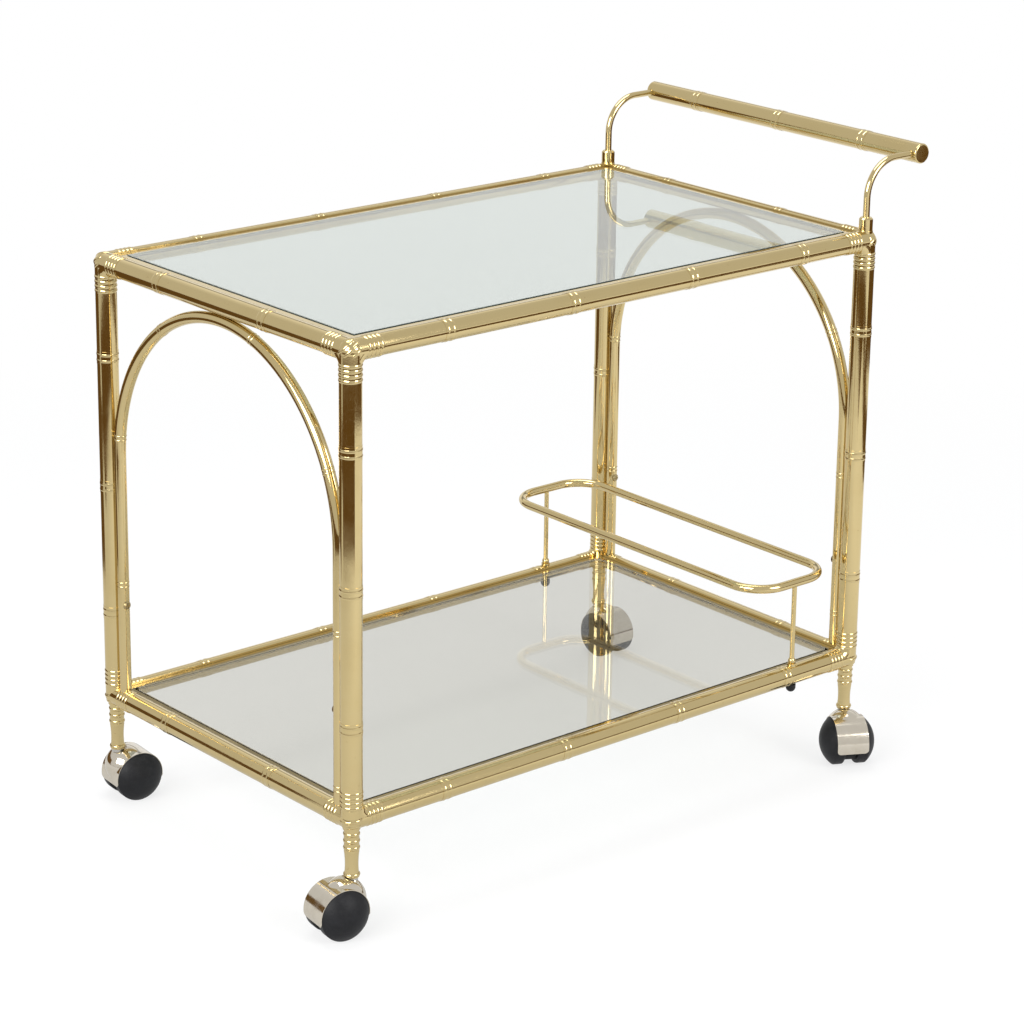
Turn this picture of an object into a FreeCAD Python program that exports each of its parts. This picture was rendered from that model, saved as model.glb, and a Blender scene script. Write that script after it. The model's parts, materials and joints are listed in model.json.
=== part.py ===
import FreeCAD, Part
import math
import os
import Sketcher
from FreeCAD import Placement, Rotation, Vector

# A brass serving cart in the faux-bamboo style: two glass shelves in tubular frames,
# four legs, an arch inside each short end, a push handle, a bottle rail and four
# hooded twin-wheel casters. X runs from the plain end to the handle end, -Y is the
# front and Z is up. Lengths are in millimetres and angles in degrees.
SIZES = {
    # frame, measured between the axes of legs and rails
    "span_x": 630,
    "span_y": 374,
    "rise": 433,
    # tubes
    "leg_d": 20.4,
    "rail_d": 20,
    "arch_d": 11.5,
    "handle_d": 20,
    "tube_wall": 1.2,
    "arch_wall": 1,
    "fit": 0.15,
    # bamboo nodes: a faint band with a pair of beads, and their places on each tube
    "band_l": 12.8,
    "band_rise": 0.2,
    "bead_r": 3.2,
    "bead_rise": 0.5,
    "bead_gap": 5.8,
    "arch_bead_r": 1.8,
    "arch_bead_rise": 0.3,
    "arch_bead_gap": 4.2,
    "leg_node_first": 86.7,
    "leg_node_last": 90.8,
    "long_node_first": 104,
    "long_node_last": 90,
    "short_node_first": 94,
    "short_node_last": 118,
    "handle_node_first": 77,
    "handle_node_last": 71,
    "arch_left_node_front": 23.6,
    "arch_left_node_back": 119,
    "arch_right_node_front": 42.5,
    "arch_right_node_back": 108,
    # corner castings
    "arm_d": 20.4,
    "arm_len": 31,
    "ring_r": 3,
    "ring_rise": 0.5,
    "rail_ring_first": 14.2,
    "leg_ring_first": 12.6,
    "ring_pitch": 4.5,
    "spigot_l": 14,
    "ball_d": 21.2,
    "elbow_r": 15.4,
    "elbow_in": 0.3,
    "wrap_r": 2,
    "wrap_rise": 0.6,
    "wrap_gap": 5,
    "wrap_tilt_top": 45,
    "wrap_tilt_low": 84,
    # glass and the rebate that holds it
    "glass_t": 5,
    "glass_gap": 0.4,
    "top_ledge_z": 5.5,
    "low_ledge_z": 4,
    "rebate_in": 5,
    # turned feet
    "seat_d": 16,
    "seat_drop": 9.2,
    "foot_d": 14,
    "foot_len": 46.3,
    "foot_waist_r": 90,
    "foot_ring_r": 2.3,
    "foot_ring_rise": 0.7,
    "foot_ring_first": 4.6,
    "foot_ring_pitch": 6.6,
    "foot_collar_l": 21.5,
    "tenon_d": 9,
    "tenon_l": 7,
    # arch fixing
    "arch_seat": 0.1,
    "screw_z": 98.5,
    "screw_d": 3,
    "screw_head_d": 8.4,
    "screw_head_t": 1.5,
    "screw_slot": 0.8,
    # handle
    "handle_reach": 69,
    "handle_rise": 78,
    "handle_end": 6.5,
    "cap_l": 17,
    "cap_round": 1.5,
    "rod_d": 6.6,
    "rod_bend_r": 36,
    "rod_sink": 8,
    "handle_seat_d": 14.2,
    "handle_seat_z": 10.4,
    "ferrule_d": 13.6,
    "ferrule_l": 13,
    "ferrule_chamfer": 1.6,
    # bottle rail
    "loop_inset": 78.2,
    "loop_w": 104,
    "loop_corner_r": 34,
    "loop_z": 96.8,
    "loop_d": 8.8,
    "post_d": 4.8,
    "post_sink": 3,
    "saddle_d": 9,
    "saddle_t": 2,
    "collar_ball_d": 7.6,
    "tail_d": 4,
    "nut_d": 10,
    "nut_l": 3.4,
    # casters
    "wheel_d": 48.2,
    "tread_w": 9.7,
    "dome_h": 11.6,
    "rim_round": 2,
    "wheel_bore_l": 12.5,
    "axle_d": 5,
    "run_fit": 0.06,
    "core_w": 12.6,
    "core_d": 40,
    "side_gap": 0.35,
    "hood_gap": 0.35,
    "hood_t": 0.6,
    "hood_dip": 14,
    "hood_round": 4,
    "hub_r": 20.2,
    "hub_in": 8,
    "hub_up": 9.9,
    "spot_d": 17.2,
    "trail": 15.2,
    "stem_d": 8,
    "stem_clear": 1,
    "stem_collar_d": 11.6,
    "stem_collar_t": 3,
    "stem_drop": 26.1,
    "stem_up": 32,
    "stem_down": 22,
    "swivel_gap": 0.3,
    # how far each caster is turned about its stem
    "swivel_front_left": 171.8,
    "swivel_front_right": 240.7,
    "swivel_back_right": 269.9,
    "swivel_back_left": 354.5,
}

CORNERS = ("front_left", "front_right", "back_right", "back_left")
RAILS = ("front", "right", "back", "left")
RING_COUNT = 4
FOOT_RING_COUNT = 3

doc = FreeCAD.newDocument("BarCart")
sheet = doc.addObject("Spreadsheet::Sheet", "Sizes")
for row, (name, value) in enumerate(SIZES.items(), 1):
    sheet.set(f"A{row}", name)
    sheet.set(f"B{row}", str(value))
    sheet.setAlias(f"B{row}", name)
doc.recompute()


def size(name):
    """The number in the sheet's cell of that name."""
    return float(getattr(sheet, name))


# Directions for shapes that are made along their own Z axis.
UP = Rotation()
DOWN = Rotation(Vector(1, 0, 0), 180)
ALONG_X = Rotation(Vector(0, 1, 0), 90)
ALONG_Y = Rotation(Vector(1, 0, 0), -90)
# A rail's own X points inward, its Y up and its Z along the rail.
RAIL_TURN = Rotation(Vector(1, 1, 1), 120)

# Heights above the floor.
axle_z = size("wheel_d") / 2
foot_z = axle_z + size("stem_drop") + size("stem_collar_t") + size("swivel_gap")
low_z = foot_z + size("foot_len") + size("seat_drop")
top_z = low_z + size("rise")
# Radii that several pieces share.
ring_reach = size("arm_d") / 2 + size("ring_rise")
leg_reach = max(size("leg_d") / 2 + size("bead_rise"), ring_reach)
arch_reach = size("arch_d") / 2 + size("arch_bead_rise") + size("arch_seat")
arch_r = size("span_y") / 2 - leg_reach - arch_reach
arch_spring = size("rise") - size("rail_d") / 2 - size("arch_seat") - size("arch_d") / 2 - arch_r
handle_half = size("span_y") / 2 + size("handle_end")
hood_w = size("core_w") + 2 * size("side_gap") + 2 * size("tread_w")
stem_z = axle_z + size("stem_drop")
axle_half = size("core_w") / 2 + size("wheel_bore_l")
AXLE_HALF = "(Sizes.core_w / 2 + Sizes.wheel_bore_l)"
HOOD_R = "(Sizes.wheel_d / 2 + Sizes.hood_gap + Sizes.hood_t)"
HOOD_IN_R = "(Sizes.wheel_d / 2 + Sizes.hood_gap)"
HOOD_W = "(Sizes.core_w + 2 * Sizes.side_gap + 2 * Sizes.tread_w)"

nodes = []


def corner_point(index):
    """The plan position of a leg's axis."""
    x = size("span_x") / 2 * (1 if index in (1, 2) else -1)
    y = size("span_y") / 2 * (1 if index in (2, 3) else -1)
    return Vector(x, y, 0)


def about_z(angle):
    return Rotation(Vector(0, 0, 1), angle)


def at(x=0.0, y=0.0, z=0.0, turn=UP):
    return Placement(Vector(x, y, z), turn)


def bind(feature, **formulas):
    """Tie a feature's sizes to the sheet."""
    for prop, formula in formulas.items():
        feature.setExpression(prop, formula)
    return feature


def new_body(label, place):
    body = doc.addObject("PartDesign::Body", label)
    body.Label = label
    body.Placement = place
    return body


def node(piece):
    nodes.append(piece)
    return piece


def group(label, bodies):
    """Alike loose pieces that share one node, each a solid of its own."""
    compound = doc.addObject("Part::Compound", label)
    compound.Label = label
    compound.Links = bodies
    return node(compound)


def primitive(body, kind, place, **formulas):
    feature = bind(body.newObject("PartDesign::" + kind, kind), **formulas)
    feature.Placement = place
    return feature


def origin_item(body, role):
    return next(f for f in body.Origin.OriginFeatures if f.Role == role)


def new_sketch(body, role):
    sketch = body.newObject("Sketcher::SketchObject", "Sketch")
    sketch.AttachmentSupport = [(origin_item(body, role), "")]
    sketch.MapMode = "FlatFace"
    return sketch


def measure(sketch, kind, *items):
    """A dimension whose last item is its formula."""
    *where, formula = items
    value = float(sketch.evalExpression(formula))
    index = sketch.addConstraint(Sketcher.Constraint(kind, *where, value))
    sketch.setExpression(f"Constraints[{index}]", formula)


def join(sketch, *pairs):
    for first, first_end, second, second_end in pairs:
        sketch.addConstraint(
            Sketcher.Constraint("Coincident", first, first_end, second, second_end)
        )


def pattern_along(body, originals, role, spacing, count):
    """Copies of features, evenly spaced along one of the body's axes."""
    pattern = body.newObject("PartDesign::LinearPattern", "Pattern")
    pattern.Originals = originals
    pattern.Direction = (origin_item(body, role), [""])
    pattern.Occurrences = count
    bind(pattern, Length=f"({spacing}) * {count - 1}")
    body.Tip = pattern
    return pattern


def bamboo_nodes(body, tube_d, first, spacing, count):
    """Bands with paired beads, along a tube on the body's Z axis."""
    start = first - size("band_l") / 2
    band = primitive(
        body, "AdditiveCylinder", at(z=start),
        Radius=f"Sizes.{tube_d} / 2 + Sizes.band_rise", Height="Sizes.band_l",
    )
    beads = [
        primitive(
            body, "AdditiveTorus", at(z=first + side * size("bead_gap") / 2),
            Radius1=f"Sizes.{tube_d} / 2 + Sizes.bead_rise - Sizes.bead_r",
            Radius2="Sizes.bead_r",
        )
        for side in (-1, 1)
    ]
    pattern_along(body, [band, *beads], "Z_Axis", spacing, count)


def round_bore(body, radius, length):
    primitive(body, "SubtractiveCylinder", at(z=-1), Radius=radius, Height=length)


def leg(index):
    label = "leg_" + CORNERS[index]
    place = corner_point(index) + Vector(0, 0, low_z + size("arm_len"))
    body = node(new_body(label, Placement(place, UP)))
    length = "Sizes.rise - 2 * Sizes.arm_len"
    primitive(body, "AdditiveCylinder", at(), Radius="Sizes.leg_d / 2", Height=length)
    spacing = "(Sizes.rise - Sizes.leg_node_first - Sizes.leg_node_last) / 2"
    bamboo_nodes(body, "leg_d", size("leg_node_first") - size("arm_len"), spacing, 3)
    round_bore(body, "Sizes.leg_d / 2 - Sizes.tube_wall", length + " + 2")
    # The arch's screw goes through the wall on the side of the opposite leg.
    inward = ALONG_Y if place.y < 0 else Rotation(Vector(1, 0, 0), 90)
    primitive(
        body, "SubtractiveCylinder", at(z=size("screw_z") - size("arm_len"), turn=inward),
        Radius="Sizes.screw_d / 2 + Sizes.fit", Height="Sizes.leg_d",
    )


def notched_bore(body, ledge):
    """The inside of a rail: a round bore that keeps one wall thickness under the rebate."""
    radius = size("rail_d") / 2 - size("tube_wall")
    across = size("rebate_in") - size("tube_wall")
    upward = size(ledge) - size("tube_wall")
    start = math.acos(across / radius)
    end = math.asin(upward / radius) + 2 * math.pi
    circle = Part.Circle(Vector(), Vector(0, 0, 1), radius)
    arc = Part.ArcOfCircle(circle, start, end)
    corner = Vector(across, upward, 0)
    sketch = new_sketch(body, "XY_Plane")
    sketch.addGeometry(arc)
    sketch.addGeometry(Part.LineSegment(arc.StartPoint, corner))
    sketch.addGeometry(Part.LineSegment(corner, arc.EndPoint))
    join(sketch, (0, 3, -1, 1), (0, 1, 1, 1), (1, 2, 2, 1), (2, 2, 0, 2))
    sketch.addConstraint(Sketcher.Constraint("Vertical", 1))
    sketch.addConstraint(Sketcher.Constraint("Horizontal", 2))
    measure(sketch, "Radius", 0, "Sizes.rail_d / 2 - Sizes.tube_wall")
    measure(sketch, "DistanceX", -1, 1, 2, 1, "Sizes.rebate_in - Sizes.tube_wall")
    measure(sketch, "DistanceY", -1, 1, 2, 1, f"Sizes.{ledge} - Sizes.tube_wall")
    bore = body.newObject("PartDesign::Pocket", "Bore")
    bore.Profile = sketch
    bore.Type = "ThroughAll"
    bore.Reversed = True
    return bore


def rail(level, index, height):
    """One side of a shelf frame, from its corner to the next one round."""
    is_long = index % 2 == 0
    kind = "long" if is_long else "short"
    span = "span_x" if is_long else "span_y"
    ledge = level + "_ledge_z"
    count = 4 if is_long else 2
    turn = about_z(90 * index)
    place = corner_point(index) + Vector(0, 0, height)
    place += turn.multVec(Vector(size("arm_len"), 0, 0))
    body = node(new_body(f"{level}_rail_{RAILS[index]}", Placement(place, turn * RAIL_TURN)))
    length = f"Sizes.{span} - 2 * Sizes.arm_len"
    primitive(body, "AdditiveCylinder", at(), Radius="Sizes.rail_d / 2", Height=length)
    # Nodes of facing rails line up, apart from the upper rail at the handle end.
    backward = index == 2 or (level, index) == ("top", 1)
    first = size(f"{kind}_node_last" if backward else f"{kind}_node_first")
    both_ends = f"Sizes.{kind}_node_first + Sizes.{kind}_node_last"
    spacing = f"(Sizes.{span} - ({both_ends})) / {count - 1}"
    bamboo_nodes(body, "rail_d", first - size("arm_len"), spacing, count)
    primitive(
        body, "SubtractiveBox", at(size("rebate_in"), size(ledge), -1),
        Length="Sizes.rail_d", Width="Sizes.rail_d", Height=length + " + 2",
    )
    bore = notched_bore(body, ledge)
    if level == "low" and is_long:
        from_start = size("span_x") - size("loop_inset") if index == 0 else size("loop_inset")
        hole = at(0, -size("rail_d"), from_start - size("arm_len"), ALONG_Y)
        primitive(
            body, "SubtractiveCylinder", hole,
            Radius="Sizes.tail_d / 2 + Sizes.fit", Height="2 * Sizes.rail_d",
        )
    return bore


def ringed_arm(body, tube, turn, role, sign):
    """An arm of a casting with its stack of rings, along one of the body's axes."""
    primitive(
        body, "AdditiveCylinder", at(turn=turn),
        Radius="Sizes.arm_d / 2", Height="Sizes.arm_len",
    )
    first = turn.multVec(Vector(0, 0, size(tube + "_ring_first")))
    ring = primitive(
        body, "AdditiveTorus", Placement(first, turn),
        Radius1="Sizes.arm_d / 2 + Sizes.ring_rise - Sizes.ring_r", Radius2="Sizes.ring_r",
    )
    pattern = pattern_along(body, [ring], role, "Sizes.ring_pitch", RING_COUNT)
    pattern.Reversed = sign < 0


def wrapped_ridges(body, tilt):
    """Slanting ridges, like a binding, over the outer side of the corner."""
    sideways = Vector(1, -1, 0).normalize()
    axis = sideways * math.cos(math.radians(tilt)) - Vector(0, 0, math.sin(math.radians(tilt)))
    turn = Rotation(Vector(0, 0, 1), axis)
    for step in (-1, 0, 1):
        shift = step * size("wrap_gap")
        primitive(
            body, "AdditiveTorus", Placement(axis * shift, turn),
            Radius1="sqrt((Sizes.ball_d / 2 + Sizes.wrap_rise - Sizes.wrap_r)^2"
                    f" - ({step} * Sizes.wrap_gap)^2)",
            Radius2="Sizes.wrap_r",
        )


def elbow(body, arm, leg_way):
    """A quarter bend that blends an arm into the arm for the leg."""
    turn = Rotation(-arm, -leg_way, arm.cross(leg_way), "XYZ")
    bend = primitive(
        body, "AdditiveTorus", Placement((arm + leg_way) * size("elbow_r"), turn),
        Radius1="Sizes.elbow_r", Radius2="Sizes.arm_d / 2 - Sizes.elbow_in",
    )
    bend.Angle3 = 90


def corner(level, index, height):
    """A corner casting: two ringed arms for rails, one for the leg, spigots in the tubes."""
    place = corner_point(index) + Vector(0, 0, height)
    body = node(new_body(f"{level}_corner_{CORNERS[index]}", Placement(place, about_z(90 * index))))
    spigot = {
        "Radius": "Sizes.rail_d / 2 - Sizes.tube_wall - Sizes.fit",
        "Height": "Sizes.arm_len + Sizes.spigot_l",
    }
    for turn in (ALONG_X, ALONG_Y):
        primitive(body, "AdditiveCylinder", at(turn=turn), **spigot)
    clear = size("tube_wall") + size("fit")
    inner = size("rebate_in") - clear
    block = {edge: "2 * Sizes.arm_len" for edge in ("Length", "Width", "Height")}
    ledge = size(level + "_ledge_z")
    primitive(body, "SubtractiveBox", at(inner, inner, ledge - clear), **block)
    ringed_arm(body, "rail", ALONG_X, "X_Axis", 1)
    ringed_arm(body, "rail", ALONG_Y, "Y_Axis", 1)
    primitive(body, "AdditiveSphere", at(), Radius="Sizes.ball_d / 2")
    wrapped_ridges(body, size(f"wrap_tilt_{level}"))
    sign = 1 if level == "low" else -1
    leg_turn = UP if level == "low" else DOWN
    # An arch stands in the lower corners between leg and short rail, so that side stays open.
    for step, arm in enumerate((Vector(1, 0, 0), Vector(0, 1, 0))):
        is_long_side = (index + step) % 2 == 0
        if level == "top" or is_long_side:
            elbow(body, arm, Vector(0, 0, sign))
    if level == "low":
        primitive(
            body, "AdditiveCylinder", at(turn=DOWN),
            Radius="Sizes.seat_d / 2", Height="Sizes.seat_drop",
        )
        primitive(
            body, "SubtractiveCylinder", at(z=-2 * size("seat_drop")),
            Radius="Sizes.seat_d / 2", Height="Sizes.seat_drop",
        )
    elif index in (1, 2):
        primitive(
            body, "AdditiveCylinder", at(),
            Radius="Sizes.handle_seat_d / 2", Height="Sizes.handle_seat_z",
        )
        primitive(
            body, "SubtractiveCylinder", at(z=size("handle_seat_z")),
            Radius="Sizes.handle_seat_d / 2", Height="Sizes.handle_seat_z",
        )
    edge = size("rebate_in")
    primitive(body, "SubtractiveBox", at(edge, edge, ledge), **block)
    primitive(
        body, "AdditiveCylinder", at(turn=leg_turn),
        Radius="Sizes.leg_d / 2 - Sizes.tube_wall - Sizes.fit",
        Height="Sizes.arm_len + Sizes.spigot_l",
    )
    ringed_arm(body, "leg", leg_turn, "Z_Axis", sign)
    if level == "low":
        primitive(
            body, "SubtractiveCylinder", at(z=-2 * size("seat_drop")),
            Radius="Sizes.tenon_d / 2 + Sizes.fit",
            Height="Sizes.seat_drop + Sizes.tenon_l + Sizes.fit",
        )
    elif index in (1, 2):
        primitive(
            body, "SubtractiveCylinder", at(z=size("handle_seat_z") - size("rod_sink")),
            Radius="Sizes.rod_d / 2 + Sizes.fit", Height="2 * Sizes.rod_sink",
        )


def foot(index):
    """A turned post under a lower corner, with a tenon above and the stem's socket below."""
    place = corner_point(index) + Vector(0, 0, foot_z)
    body = node(new_body("foot_" + CORNERS[index], Placement(place, UP)))
    radius = size("foot_d") / 2
    length = size("foot_len")
    waist_top = length - size("foot_collar_l")
    bulge = size("foot_waist_r") - math.sqrt(size("foot_waist_r") ** 2 - waist_top**2 / 4)
    points = [(0, 0), (radius, 0), (radius, waist_top), (radius, length), (0, length)]
    base, low, waist, top, centre = (Vector(x, y, 0) for x, y in points)
    sketch = new_sketch(body, "XZ_Plane")
    sketch.addGeometry(Part.LineSegment(base, low))
    middle = Vector(radius - bulge, waist_top / 2, 0)
    sketch.addGeometry(Part.Arc(waist, middle, low))
    sketch.addGeometry(Part.LineSegment(waist, top))
    sketch.addGeometry(Part.LineSegment(top, centre))
    sketch.addGeometry(Part.LineSegment(centre, base))
    hollow = sketch.Geometry[1]
    first_end = 1 if hollow.StartPoint.y > hollow.EndPoint.y else 2
    join(
        sketch, (0, 1, -1, 1), (0, 2, 1, 3 - first_end), (1, first_end, 2, 1),
        (2, 2, 3, 1), (3, 2, 4, 1), (4, 2, 0, 1),
    )
    for kind, line in (("Horizontal", 0), ("Vertical", 2), ("Horizontal", 3), ("Vertical", 4)):
        sketch.addConstraint(Sketcher.Constraint(kind, line))
    measure(sketch, "DistanceX", -1, 1, 0, 2, "Sizes.foot_d / 2")
    measure(sketch, "DistanceX", -1, 1, 2, 1, "Sizes.foot_d / 2")
    measure(sketch, "DistanceY", -1, 1, 2, 1, "Sizes.foot_len - Sizes.foot_collar_l")
    measure(sketch, "DistanceY", -1, 1, 3, 1, "Sizes.foot_len")
    measure(sketch, "Radius", 1, "Sizes.foot_waist_r")
    turned = body.newObject("PartDesign::Revolution", "Turned")
    turned.Profile = sketch
    turned.ReferenceAxis = (sketch, ["V_Axis"])
    ring = {
        "Radius1": "Sizes.foot_d / 2 + Sizes.foot_ring_rise - Sizes.foot_ring_r",
        "Radius2": "Sizes.foot_ring_r",
    }
    primitive(body, "AdditiveTorus", at(z=size("foot_ring_r")), **ring)
    upper = primitive(body, "AdditiveTorus", at(z=length - size("foot_ring_first")), **ring)
    rings = pattern_along(body, [upper], "Z_Axis", "Sizes.foot_ring_pitch", FOOT_RING_COUNT)
    rings.Reversed = True
    primitive(
        body, "AdditiveCylinder", at(z=length - 1),
        Radius="Sizes.tenon_d / 2", Height="Sizes.tenon_l + 1",
    )
    primitive(
        body, "SubtractiveCylinder", at(z=-1),
        Radius="Sizes.stem_d / 2 + Sizes.run_fit", Height="Sizes.stem_up + 2",
    )


def arch_point(along):
    """Place and direction on the arch's axis, from the front end on the lower rail."""
    bend = math.pi * arch_r
    if along < arch_spring:
        return at(-arch_r, 0, along)
    if along > arch_spring + bend:
        return at(arch_r, 0, 2 * arch_spring + bend - along, DOWN)
    angle = (along - arch_spring) / arch_r
    place = Vector(-arch_r * math.cos(angle), 0, arch_spring + arch_r * math.sin(angle))
    return Placement(place, Rotation(Vector(0, 1, 0), math.degrees(angle)))


LEG_REACH = "max(Sizes.leg_d / 2 + Sizes.bead_rise; Sizes.arm_d / 2 + Sizes.ring_rise)"
ARCH_REACH = "(Sizes.arch_d / 2 + Sizes.arch_bead_rise + Sizes.arch_seat)"
ARCH_R = f"(Sizes.span_y / 2 - {LEG_REACH} - {ARCH_REACH})"
ARCH_SPRING = f"(Sizes.rise - Sizes.rail_d / 2 - Sizes.arch_seat - Sizes.arch_d / 2 - {ARCH_R})"


def arch_spine(body):
    sketch = new_sketch(body, "XZ_Plane")
    left = Vector(-arch_r, 0, 0)
    right = Vector(arch_r, 0, 0)
    rise = Vector(0, arch_spring, 0)
    circle = Part.Circle(rise, Vector(0, 0, 1), arch_r)
    sketch.addGeometry(Part.LineSegment(left, left + rise))
    sketch.addGeometry(Part.ArcOfCircle(circle, 0, math.pi))
    sketch.addGeometry(Part.LineSegment(right + rise, right))
    join(sketch, (0, 2, 1, 2), (1, 1, 2, 1))
    sketch.addConstraint(Sketcher.Constraint("Vertical", 0))
    sketch.addConstraint(Sketcher.Constraint("Vertical", 2))
    sketch.addConstraint(Sketcher.Constraint("PointOnObject", 0, 1, -1))
    sketch.addConstraint(Sketcher.Constraint("PointOnObject", 2, 2, -1))
    sketch.addConstraint(Sketcher.Constraint("PointOnObject", 1, 3, -2))
    sketch.addConstraint(Sketcher.Constraint("Horizontal", 1, 1, 1, 3))
    sketch.addConstraint(Sketcher.Constraint("Horizontal", 1, 2, 1, 3))
    measure(sketch, "Radius", 1, ARCH_R)
    measure(sketch, "DistanceY", -1, 1, 1, 3, ARCH_SPRING)
    return sketch


def round_section(body, radius, offset, offset_formula):
    """A circle on the plan plane, on the X axis."""
    sketch = new_sketch(body, "XY_Plane")
    sketch.addGeometry(Part.Circle(Vector(-offset, 0, 0), Vector(0, 0, 1), size("rod_d") / 2))
    sketch.addConstraint(Sketcher.Constraint("PointOnObject", 0, 3, -1))
    measure(sketch, "Radius", 0, radius)
    measure(sketch, "DistanceX", 0, 3, -1, 1, offset_formula)
    return sketch


def pipe(body, kind, section, spine):
    feature = body.newObject("PartDesign::" + kind, kind)
    feature.Profile = section
    edges = [f"Edge{i + 1}" for i in range(len(spine.Geometry))]
    feature.Spine = (spine, edges)
    return feature


def arch(label, x):
    """A bent tube with nodes, seated on the lower castings and screwed to both legs."""
    body = node(new_body(label, Placement(Vector(x, 0, low_z), about_z(90))))
    spine = arch_spine(body)
    pipe(body, "AdditivePipe", round_section(body, "Sizes.arch_d / 2", arch_r, ARCH_R), spine)
    count = 7
    first = size(label + "_node_front")
    last = 2 * arch_spring + math.pi * arch_r - size(label + "_node_back")
    for step in range(count):
        middle = first + (last - first) * step / (count - 1)
        for side in (-1, 1):
            primitive(
                body, "AdditiveTorus", arch_point(middle + side * size("arch_bead_gap") / 2),
                Radius1="Sizes.arch_d / 2 + Sizes.arch_bead_rise - Sizes.arch_bead_r",
                Radius2="Sizes.arch_bead_r",
            )
    bore = round_section(body, "Sizes.arch_d / 2 - Sizes.arch_wall", arch_r, ARCH_R)
    pipe(body, "SubtractivePipe", bore, spine)
    across = {"Height": "2 * Sizes.span_y"}
    start = -size("span_y")
    primitive(
        body, "SubtractiveCylinder", at(start, turn=ALONG_X),
        Radius="Sizes.arm_d / 2 + Sizes.ring_rise + Sizes.arch_seat", **across,
    )
    primitive(
        body, "SubtractiveCylinder", at(start, 0, size("screw_z"), ALONG_X),
        Radius="Sizes.screw_d / 2 + Sizes.fit", **across,
    )


def arch_screw(x, side):
    """A cross-head screw from the inside of an arch into a leg."""
    head = arch_r - size("arch_d") / 2
    turn = ALONG_Y if side > 0 else Rotation(Vector(1, 0, 0), 90)
    body = new_body("arch_screw", at(x, side * head, low_z + size("screw_z"), turn))
    primitive(
        body, "AdditiveCylinder", at(),
        Radius="Sizes.screw_d / 2",
        Height=f"Sizes.span_y / 2 - {ARCH_R} + Sizes.arch_d / 2 - Sizes.leg_d / 2 + 2 * Sizes.tube_wall",
    )
    primitive(
        body, "AdditiveCone", at(z=-size("screw_head_t")),
        Radius1="Sizes.screw_head_d / 3", Radius2="Sizes.screw_head_d / 2",
        Height="Sizes.screw_head_t",
    )
    reach = size("screw_head_d") / 3
    slot = size("screw_slot")
    for length, width in ((2 * reach, slot), (slot, 2 * reach)):
        long_side = "2 * Sizes.screw_head_d / 3"
        primitive(
            body, "SubtractiveBox", at(-length / 2, -width / 2, -size("screw_head_t") - slot / 2),
            Length=long_side if length > width else "Sizes.screw_slot",
            Width=long_side if width > length else "Sizes.screw_slot",
            Height="1.5 * Sizes.screw_slot",
        )
    return body


def shelf(level, height):
    """A glass pane in the rebate of its frame; the lower one clears the legs."""
    inset = size("rebate_in") + size("glass_gap")
    bottom = height + size(level + "_ledge_z")
    start = Vector(inset - size("span_x") / 2, inset - size("span_y") / 2, bottom)
    body = node(new_body(level + "_shelf", Placement(start, UP)))
    edges = "2 * (Sizes.rebate_in + Sizes.glass_gap)"
    pane = primitive(
        body, "AdditiveBox", at(), Length=f"Sizes.span_x - {edges}",
        Width=f"Sizes.span_y - {edges}", Height="Sizes.glass_t",
    )
    if level == "low":
        doc.recompute()
        upright = [
            f"Edge{i}" for i, edge in enumerate(pane.Shape.Edges, 1)
            if abs(edge.tangentAt(edge.FirstParameter).z) > 0.9
        ]
        cut = body.newObject("PartDesign::Chamfer", "CornerCut")
        cut.Base = (pane, upright)
        clear = "Sizes.arm_d / 2 + Sizes.ring_rise + Sizes.glass_gap"
        bind(cut, Size=f"sqrt(2) * ({clear}) - {edges}")


def round_edges(feature, height, radius):
    """The names of a feature's circular edges at one height and radius."""
    return [
        f"Edge{i}" for i, edge in enumerate(feature.Shape.Edges, 1)
        if not edge.Degenerated and isinstance(edge.Curve, Part.Circle)
        and abs(edge.Curve.Center.z - height) < 1e-6
        and abs(edge.Curve.Radius - radius) < 1e-6
    ]


def handle_tube():
    length = "Sizes.span_y + 2 * Sizes.handle_end - 2 * Sizes.cap_l"
    start = Vector(
        size("span_x") / 2 + size("handle_reach"),
        size("cap_l") - handle_half,
        top_z + size("handle_rise"),
    )
    body = node(new_body("handle_tube", Placement(start, ALONG_Y)))
    primitive(body, "AdditiveCylinder", at(), Radius="Sizes.handle_d / 2", Height=length)
    both_ends = "Sizes.handle_node_first + Sizes.handle_node_last"
    spacing = f"(Sizes.span_y + 2 * Sizes.handle_end - ({both_ends})) / 2"
    bamboo_nodes(body, "handle_d", size("handle_node_first") - size("cap_l"), spacing, 3)
    round_bore(body, "Sizes.handle_d / 2 - Sizes.tube_wall", length + " + 2")


def handle_cap(side):
    """A plug for the handle's end, with a side bore for the bent rod."""
    start = Vector(
        size("span_x") / 2 + size("handle_reach"),
        side * (handle_half - size("cap_l")),
        top_z + size("handle_rise"),
    )
    turn = ALONG_Y if side > 0 else Rotation(Vector(1, 0, 0), 90)
    body = new_body("handle_cap", Placement(start, turn))
    plug = primitive(
        body, "AdditiveCylinder", at(), Radius="Sizes.handle_d / 2", Height="Sizes.cap_l"
    )
    doc.recompute()
    rounded = body.newObject("PartDesign::Fillet", "EndRound")
    rounded.Base = (plug, round_edges(plug, size("cap_l"), size("handle_d") / 2))
    bind(rounded, Radius="Sizes.cap_round")
    primitive(
        body, "AdditiveCylinder", at(z=-size("spigot_l")),
        Radius="Sizes.handle_d / 2 - Sizes.tube_wall - Sizes.fit",
        Height="Sizes.spigot_l + 1",
    )
    bottom = size("rod_sink") - size("handle_d") / 2
    backward = Rotation(Vector(0, 1, 0), -90)
    primitive(
        body, "SubtractiveCylinder", at(bottom, 0, size("cap_l") - size("handle_end"), backward),
        Radius="Sizes.rod_d / 2 + Sizes.fit", Height="Sizes.handle_d",
    )
    return body


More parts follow.
